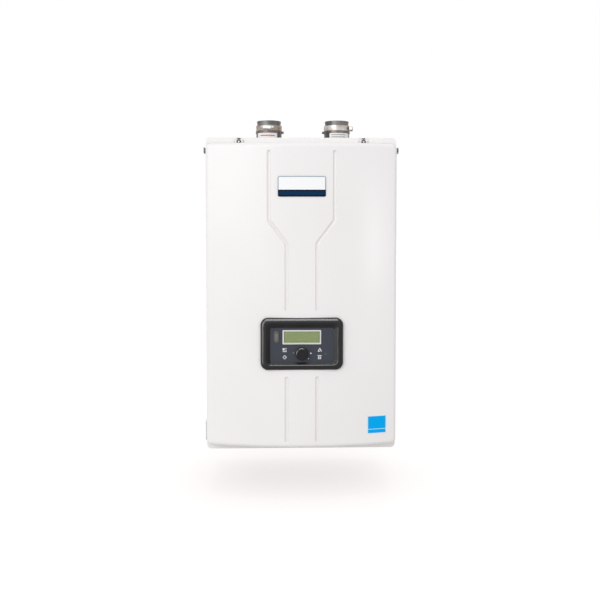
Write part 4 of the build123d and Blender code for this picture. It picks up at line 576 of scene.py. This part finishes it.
def pick(kind, test=lambda at: True):
    # in edit mode, selects the vertices, edges or faces whose middle passes the test
    bpy.ops.mesh.select_mode(type=kind)
    bpy.ops.mesh.select_all(action="DESELECT")
    mesh = bpy.context.edit_object.data
    shape = bmesh.from_edit_mesh(mesh)
    for part in {"VERT": shape.verts, "EDGE": shape.edges, "FACE": shape.faces}[kind]:
        corners = [part] if kind == "VERT" else part.verts
        part.select_set(test(sum((v.co for v in corners), Vector()) / len(corners)))
    bmesh.update_edit_mesh(mesh)


def beginPiece():
    # the primitive just added gets its place into its mesh and is opened for editing
    bpy.ops.object.transform_apply(location=True, rotation=True, scale=True)
    bpy.ops.object.mode_set(mode="EDIT")


def closePiece(name, material, sharp=40):
    # edges that turn by more degrees than sharp stay crisp
    bpy.ops.mesh.select_all(action="SELECT")
    bpy.ops.mesh.remove_doubles(threshold=touching)
    bpy.ops.mesh.normals_make_consistent(inside=False)
    bpy.ops.object.mode_set(mode="OBJECT")
    piece = bpy.context.active_object
    piece.name = piece.data.name = name
    piece.data.materials.append(material)
    bpy.ops.object.shade_smooth_by_angle(angle=math.radians(sharp))
    return piece


def copyPiece(piece, name, shift):
    # a copy with its own mesh, whose points are shifted, so that the object itself stays at the origin
    bpy.ops.object.select_all(action="DESELECT")
    piece.select_set(True)
    bpy.context.view_layer.objects.active = piece
    bpy.ops.object.duplicate()
    bpy.ops.transform.translate(value=[s * mm for s in shift])
    bpy.ops.object.transform_apply(location=True, rotation=False, scale=False)
    copied = bpy.context.active_object
    copied.name = copied.data.name = name
    return copied


def fitPiece(piece, body):
    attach(piece, body)
    bpy.ops.object.select_all(action="DESELECT")


def push(depth):
    # pulls the selected faces out toward the front
    bpy.ops.mesh.extrude_region_move(TRANSFORM_OT_translate={"value": (0, -depth * mm, 0)})


bpy.ops.object.select_all(action="DESELECT")

# Marks printed on the fascia: four plain function signs beside the knob, and the dots around it
markLook = {
    "ink": 0.12,             # proud of the fascia
    "sunk": 0.05,            # into it
    "edge": 0.04,            # softened rim of the ink
    "roundness": 24,         # points around a dot
    "leftX": -38.2,
    "rightX": 39.6,
    "upperZ": 235.6,
    "lowerZ": 219.6,
    "diamond": 4.8,
    "diamondBar": 1.27,
    # each bar's x and z from the middle of its sign, its width and height, and the degrees that it is turned
    "squareAndRows": ((-2.4, 1.9, 4.4, 5, 0), (2.8, 0.1, 3.2, 1.4, 0), (2.8, 3.7, 3.2, 1.4, 0),
                      (-0.1, -3.2, 9, 1.6, 0)),
    "roof": ((-1.65, 0.3, 1.6, 8.8, -27), (2.35, 0.5, 1.8, 8.1, 27), (-0.9, -2.8, 4, 1.6, 0)),
    "liddedTub": ((0, 3.4, 9.2, 1.6, 0), (-2.5, -1.4, 1.7, 5.6, 3), (2.5, -1.4, 1.7, 5.6, -3),
                  (0, -3.5, 2.8, 1.4, 0), (0, -0.1, 1.4, 3, 0)),
    # x, z and radius
    "dots": ((20.2, 228.3, 1.7), (15.1, 216.5, 1.1)),
    "faintDot": (-18.6, 229.4, 1.3),
}
fasciaY = nodeBox("control_fascia")[0][1]


def inkPlace(x, z):
    return (x * mm, (fasciaY + markLook["sunk"]) * mm, z * mm)


def raiseInk():
    push(markLook["sunk"] + markLook["ink"])
    bpy.ops.mesh.region_to_loop()
    bpy.ops.mesh.bevel(offset=markLook["edge"] * mm, affect="EDGES")


def addRound(x, z, radius, points):
    bpy.ops.mesh.primitive_circle_add(vertices=points, radius=radius * mm, fill_type="NGON",
                                      location=inkPlace(x, z), rotation=facingFront)


def printBar(x, z, width, height, turn):
    place = inkPlace(x, z)
    bpy.ops.mesh.primitive_plane_add(size=mm, location=place, rotation=facingFront)
    bpy.ops.transform.resize(value=(width, 1, height), center_override=place)
    if turn:
        bpy.ops.transform.rotate(value=math.radians(turn), orient_axis="Y", center_override=place)
    raiseInk()


addRound(markLook["leftX"], markLook["lowerZ"], markLook["diamond"], 4)    # four points make the diamond
beginPiece()
bpy.ops.mesh.inset(thickness=markLook["diamondBar"] * mm)
bpy.ops.mesh.delete(type="FACE")
pick("FACE")
raiseInk()
for sign, signX, signZ in (("squareAndRows", "leftX", "upperZ"), ("roof", "rightX", "upperZ"),
                           ("liddedTub", "rightX", "lowerZ")):
    for right, up, width, height, turn in markLook[sign]:
        printBar(markLook[signX] + right, markLook[signZ] + up, width, height, turn)
for x, z, radius in markLook["dots"]:
    addRound(x, z, radius, markLook["roundness"])
    raiseInk()
fitPiece(closePiece("functionMarks", moulded["screenPrintedWhiteInk"]), "heater")

addRound(*markLook["faintDot"], markLook["roundness"])
beginPiece()
raiseInk()
fitPiece(closePiece("faintDot", moulded["screenPrintedGreyInk"]), "heater")

# Status lamp: a small tinted bead in the fascia
lampLook = {"x": 52.6, "z": 226.8, "radius": 1.3, "proud": 0.7, "sunk": 0.05, "segments": 24, "rings": 12}
lampPlace = Vector((lampLook["x"], fasciaY, lampLook["z"])) * mm
bpy.ops.mesh.primitive_uv_sphere_add(segments=lampLook["segments"], ring_count=lampLook["rings"],
                                     radius=lampLook["radius"] * mm, location=lampPlace, rotation=facingFront)
beginPiece()
bpy.ops.transform.resize(value=(1, lampLook["proud"] / lampLook["radius"], 1), center_override=lampPlace)
bpy.ops.mesh.bisect(plane_co=lampPlace + Vector((0, lampLook["sunk"] * mm, 0)), plane_no=(0, 1, 0),
                    use_fill=True, clear_outer=True, threshold=touching)
fitPiece(closePiece("statusLamp", moulded["tealPolycarbonateLens"]), "heater")

# Paler rubber face set into the middle of the power button
faceLook = {"width": 6.4, "height": 15.5, "corner": 1.2, "cornerSteps": 5, "proud": 0.45, "sunk": 0.3,
            "edge": 0.3, "edgeSteps": 2}
faceX, _, faceZ = nodeMiddle("power_button")
faceBack = nodeBox("power_button")[0][1] + faceLook["sunk"]
facePlace = Vector((faceX, faceBack, faceZ)) * mm
bpy.ops.mesh.primitive_plane_add(size=mm, location=facePlace, rotation=facingFront)
beginPiece()
bpy.ops.transform.resize(value=(faceLook["width"], 1, faceLook["height"]), center_override=facePlace)
bpy.ops.mesh.bevel(offset=faceLook["corner"] * mm, segments=faceLook["cornerSteps"], affect="VERTICES")
pick("FACE")
push(faceLook["sunk"] + faceLook["proud"])
bpy.ops.mesh.region_to_loop()
bpy.ops.mesh.bevel(offset=faceLook["edge"] * mm, segments=faceLook["edgeSteps"], affect="EDGES")
fitPiece(closePiece("powerButtonFace", moulded["frostedButtonFace"]), "button")

# Rolled pipe threads on the three water and gas fittings
threadLook = {
    "root": 13,              # radii
    "crest": 13.75,
    "pitch": 1.8,
    "footShare": 0.92,       # of the pitch, at the root
    "topShare": 0.17,        # of the foot, at the crest
    "rise": 2.2,             # above the fitting's lower end
    "turns": 8,
    "steps": 48,
    "sharp": 50,             # degrees
}


def cutLevel(z, side):
    # cuts the open mesh level at a height and closes the cut
    bpy.ops.mesh.select_all(action="SELECT")
    bpy.ops.mesh.bisect(plane_co=(0, 0, z * mm), plane_no=(0, 0, side), use_fill=True, clear_outer=True,
                        threshold=touching)


def rollThread(name, fitting):
    x, y, _ = nodeMiddle(fitting)
    bottom = nodeBox(fitting)[0][2] + threadLook["rise"]
    depth, pitch = threadLook["crest"] - threadLook["root"], threadLook["pitch"]
    middle = Vector((threadLook["root"] + depth / 2, 0, bottom - pitch / 2)) * mm
    bpy.ops.mesh.primitive_plane_add(size=mm, location=middle, rotation=facingFront)
    beginPiece()
    bpy.ops.transform.resize(value=(depth, 1, threadLook["footShare"] * pitch), center_override=middle)
    pick("VERT", lambda at: at.x > middle.x)
    bpy.ops.transform.resize(value=(1, 1, threadLook["topShare"]), center_override=middle)
    pick("FACE")
    bpy.ops.mesh.delete(type="ONLY_FACE")
    bpy.ops.object.mode_set(mode="OBJECT")
    helix = bpy.context.active_object.modifiers.new("helix", "SCREW")
    helix.axis = "Z"
    helix.screw_offset = pitch * mm
    helix.iterations = threadLook["turns"] + 1
    helix.steps = helix.render_steps = threadLook["steps"]
    bpy.ops.object.modifier_apply(modifier="helix")
    bpy.ops.object.mode_set(mode="EDIT")
    cutLevel(bottom, -1)
    cutLevel(bottom + pitch * threadLook["turns"], 1)
    bpy.ops.mesh.select_all(action="SELECT")
    bpy.ops.transform.translate(value=(x * mm, y * mm, 0))
    return closePiece(name, metal["turnedBrass"], threadLook["sharp"])


def apart(first, second):
    # how far the second node stands from the first
    return [b - a for a, b in zip(nodeMiddle(first), nodeMiddle(second))]


coldThread = rollThread("coldThread", "cold_fitting")
hotThread = copyPiece(coldThread, "hotThread", apart("cold_fitting", "hot_fitting"))
gasThread = copyPiece(coldThread, "gasThread", apart("cold_fitting", "gas_fitting"))
for thread in (coldThread, hotThread, gasThread):
    fitPiece(thread, "heater")

# Rubber lip seals inside the mouths of the vent collars: a thin sleeve with a lip that narrows inward
sealLook = {
    "outer": 27.4,
    "wall": 0.6,
    "drop": 7,               # from the collar's top
    "height": 5,
    "lip": 0.9,
    "lipHeight": 2.4,
    "lipTipShare": 0.4,      # of the lip's height
    "near": 0.1,             # how near an edge's middle lies to where the lip starts
    "steps": 64,
    "sharp": 60,             # degrees
}


def turnSeal(name, collar):
    x, y, _ = nodeMiddle(collar)
    top = nodeBox(collar)[1][2] - sealLook["drop"]
    inner = sealLook["outer"] - sealLook["wall"]
    middle = Vector((x + (sealLook["outer"] + inner) / 2, y, top - sealLook["height"] / 2)) * mm
    lipMiddle = Vector((x + inner, y, top - sealLook["lipHeight"] / 2)) * mm
    bpy.ops.mesh.primitive_plane_add(size=mm, location=middle, rotation=facingFront)
    beginPiece()
    bpy.ops.transform.resize(value=(sealLook["wall"], 1, sealLook["height"]), center_override=middle)
    bpy.ops.mesh.bisect(plane_co=(0, 0, (top - sealLook["lipHeight"]) * mm), plane_no=(0, 0, 1),
                        threshold=touching)
    pick("EDGE", lambda at: (at - lipMiddle).length < sealLook["near"] * mm)
    bpy.ops.mesh.extrude_region_move(TRANSFORM_OT_translate={"value": (-sealLook["lip"] * mm, 0, 0)})
    bpy.ops.transform.resize(value=(1, 1, sealLook["lipTipShare"]), center_override=lipMiddle)
    pick("FACE")
    bpy.ops.mesh.dissolve_faces()
    bpy.ops.mesh.delete(type="ONLY_FACE")
    bpy.ops.mesh.select_all(action="SELECT")
    bpy.ops.mesh.spin(steps=sealLook["steps"], angle=2 * math.pi, center=(x * mm, y * mm, 0), axis=(0, 0, 1))
    return closePiece(name, moulded["closedCellFoamRubber"], sealLook["sharp"])


exhaustSeal = turnSeal("exhaustLipSeal", "exhaust_collar")
intakeSeal = copyPiece(exhaustSeal, "intakeLipSeal", apart("exhaust_collar", "intake_collar"))
for seal in (exhaustSeal, intakeSeal):
    fitPiece(seal, "heater")
print("detail pieces made")


# The stage is measured in metres
stageLook = {
    "floorSize": 40,
    "floorDrop": 0.098,      # below the lowest rim
    "floorColour": "#adadad",
    "floorGlow": 0.69,       # what the camera sees on top of the floor's own light
    "floorBounce": 0.22,     # what it sends up to the object
    "glowColour": "#fffbfa",
    "skyColour": "#ffffff",
    "skyLight": 0.8,
}

bpy.ops.mesh.primitive_plane_add(size=stageLook["floorSize"], location=(0, 0, -stageLook["floorDrop"]))
floor = bpy.context.active_object
floor.name = "paleFloor"
floorPaint = startMaterial("mattWhiteFloor")
seen = addNode(floorPaint, "LightPath")
looked = addNode(floorPaint, "Math", {0: seen.outputs["Is Camera Ray"], 1: seen.outputs["Is Glossy Ray"]},
                 operation="MAXIMUM")
glow = addNode(floorPaint, "MapRange", {"Value": looked, "To Min": stageLook["floorBounce"],
                                        "To Max": stageLook["floorGlow"]})
matt = addNode(floorPaint, "BsdfDiffuse", {"Color": linear(stageLook["floorColour"])})
glowing = addNode(floorPaint, "Emission", {"Color": linear(stageLook["glowColour"]), "Strength": glow})
both = addNode(floorPaint, "AddShader", {0: matt, 1: glowing})
floor.data.materials.append(finishMaterial(floorPaint, both))

# The world is plain white to the camera, in gloss and through glass, and lights the object a little less
world = bpy.data.worlds.new("plainStudio")
bpy.context.scene.world = world
world.use_nodes = True
world.node_tree.nodes.clear()
ray = addNode(world, "LightPath")
mirrored = addNode(world, "Math", {0: ray.outputs["Is Camera Ray"], 1: ray.outputs["Is Glossy Ray"]},
                   operation="MAXIMUM")
whiteRay = addNode(world, "Math", {0: mirrored, 1: ray.outputs["Is Transmission Ray"]}, operation="MAXIMUM")
strength = addNode(world, "MapRange", {"Value": whiteRay, "To Min": stageLook["skyLight"]})
sky = addNode(world, "Background", {"Color": linear(stageLook["skyColour"]), "Strength": strength})
addNode(world, "OutputWorld", {"Surface": sky})


def lightGroup(name, state, members):
    # a light's receivers: these alone, or all but these
    group = bpy.data.collections.new(name)
    for member in members:
        group.objects.link(member)
    for link in group.collection_objects:
        link.light_linking.link_state = state
    return group


floorOnly = lightGroup("floorOnly", "INCLUDE", [floor])
notFloor = lightGroup("notFloor", "EXCLUDE", [floor])
darkNames = ("control_bezel", "control_knob", "control_fascia", "power_button")
darkParts = lightGroup("darkParts", "INCLUDE", [nodes[name] for name in darkNames])

# Watts: a broad box high on the left, and a narrow one for the pale streak down the right of the cover
softboxLooks = {
    "keySoftbox": {"place": (-2.2, -3.5, 1.9), "target": (0, -0.1, 0.4), "size": (3.2, 3.2), "power": 76},
    "stripSoftbox": {"place": (1.16, -1.86, 0.41), "target": (0.16, -0.12, 0.45), "size": (0.15, 0.4),
                     "power": 1.7},
}
# Two more that only show as sheen on the dark panel
glintLooks = {
    "topGlint": {"place": (-0.2, -1.2, 2.2), "target": (0, -0.14, 0.25), "size": (2.4, 1.6), "power": 300},
    "leftGlint": {"place": (-1.9, -1.5, 0.6), "target": (0, -0.14, 0.25), "size": (1.4, 1.4), "power": 150},
}
# Straight down, for the floor's shadow alone
sunLook = {"height": 3, "power": 0.3, "spread": 24}    # W/m2 and degrees


def addSoftbox(name, receivers, place, target, size, power):
    bpy.ops.object.light_add(type="AREA", location=place)
    lamp = bpy.context.active_object
    lamp.name = name
    lamp.data.shape = "RECTANGLE"
    lamp.data.size, lamp.data.size_y = size
    lamp.data.energy = power
    lamp.rotation_euler = (Vector(target) - Vector(place)).to_track_quat("-Z", "Y").to_euler()
    lamp.light_linking.receiver_collection = receivers
    return lamp


for name, look in softboxLooks.items():
    addSoftbox(name, notFloor, **look)
for name, look in glintLooks.items():
    addSoftbox(name, darkParts, **look).visible_diffuse = False
bpy.ops.object.light_add(type="SUN", location=(0, 0, sunLook["height"]))
floorSun = bpy.context.active_object
floorSun.name = "floorSun"
floorSun.data.energy = sunLook["power"]
floorSun.data.angle = math.radians(sunLook["spread"])
floorSun.light_linking.receiver_collection = floorOnly

cameraLook = {
    "place": (-0.0476, -1.8, 0.5307),
    "yaw": -1.498,           # degrees, to the right
    "pitch": -2.166,         # degrees, down
    "lens": 45.09,           # mm
    "film": 36,              # mm
    "shift": -0.09,
}
cameraData = bpy.data.cameras.new("photoCamera")
cameraData.lens = cameraLook["lens"]
cameraData.sensor_width = cameraLook["film"]
cameraData.shift_y = cameraLook["shift"]
camera = bpy.data.objects.new("photoCamera", cameraData)
bpy.context.scene.collection.objects.link(camera)
camera.location = cameraLook["place"]
camera.rotation_euler = (math.radians(90 + cameraLook["pitch"]), 0, math.radians(cameraLook["yaw"]))
bpy.context.scene.camera = camera
bpy.context.scene.view_settings.view_transform = "Standard"
print("stage, lights and camera set")
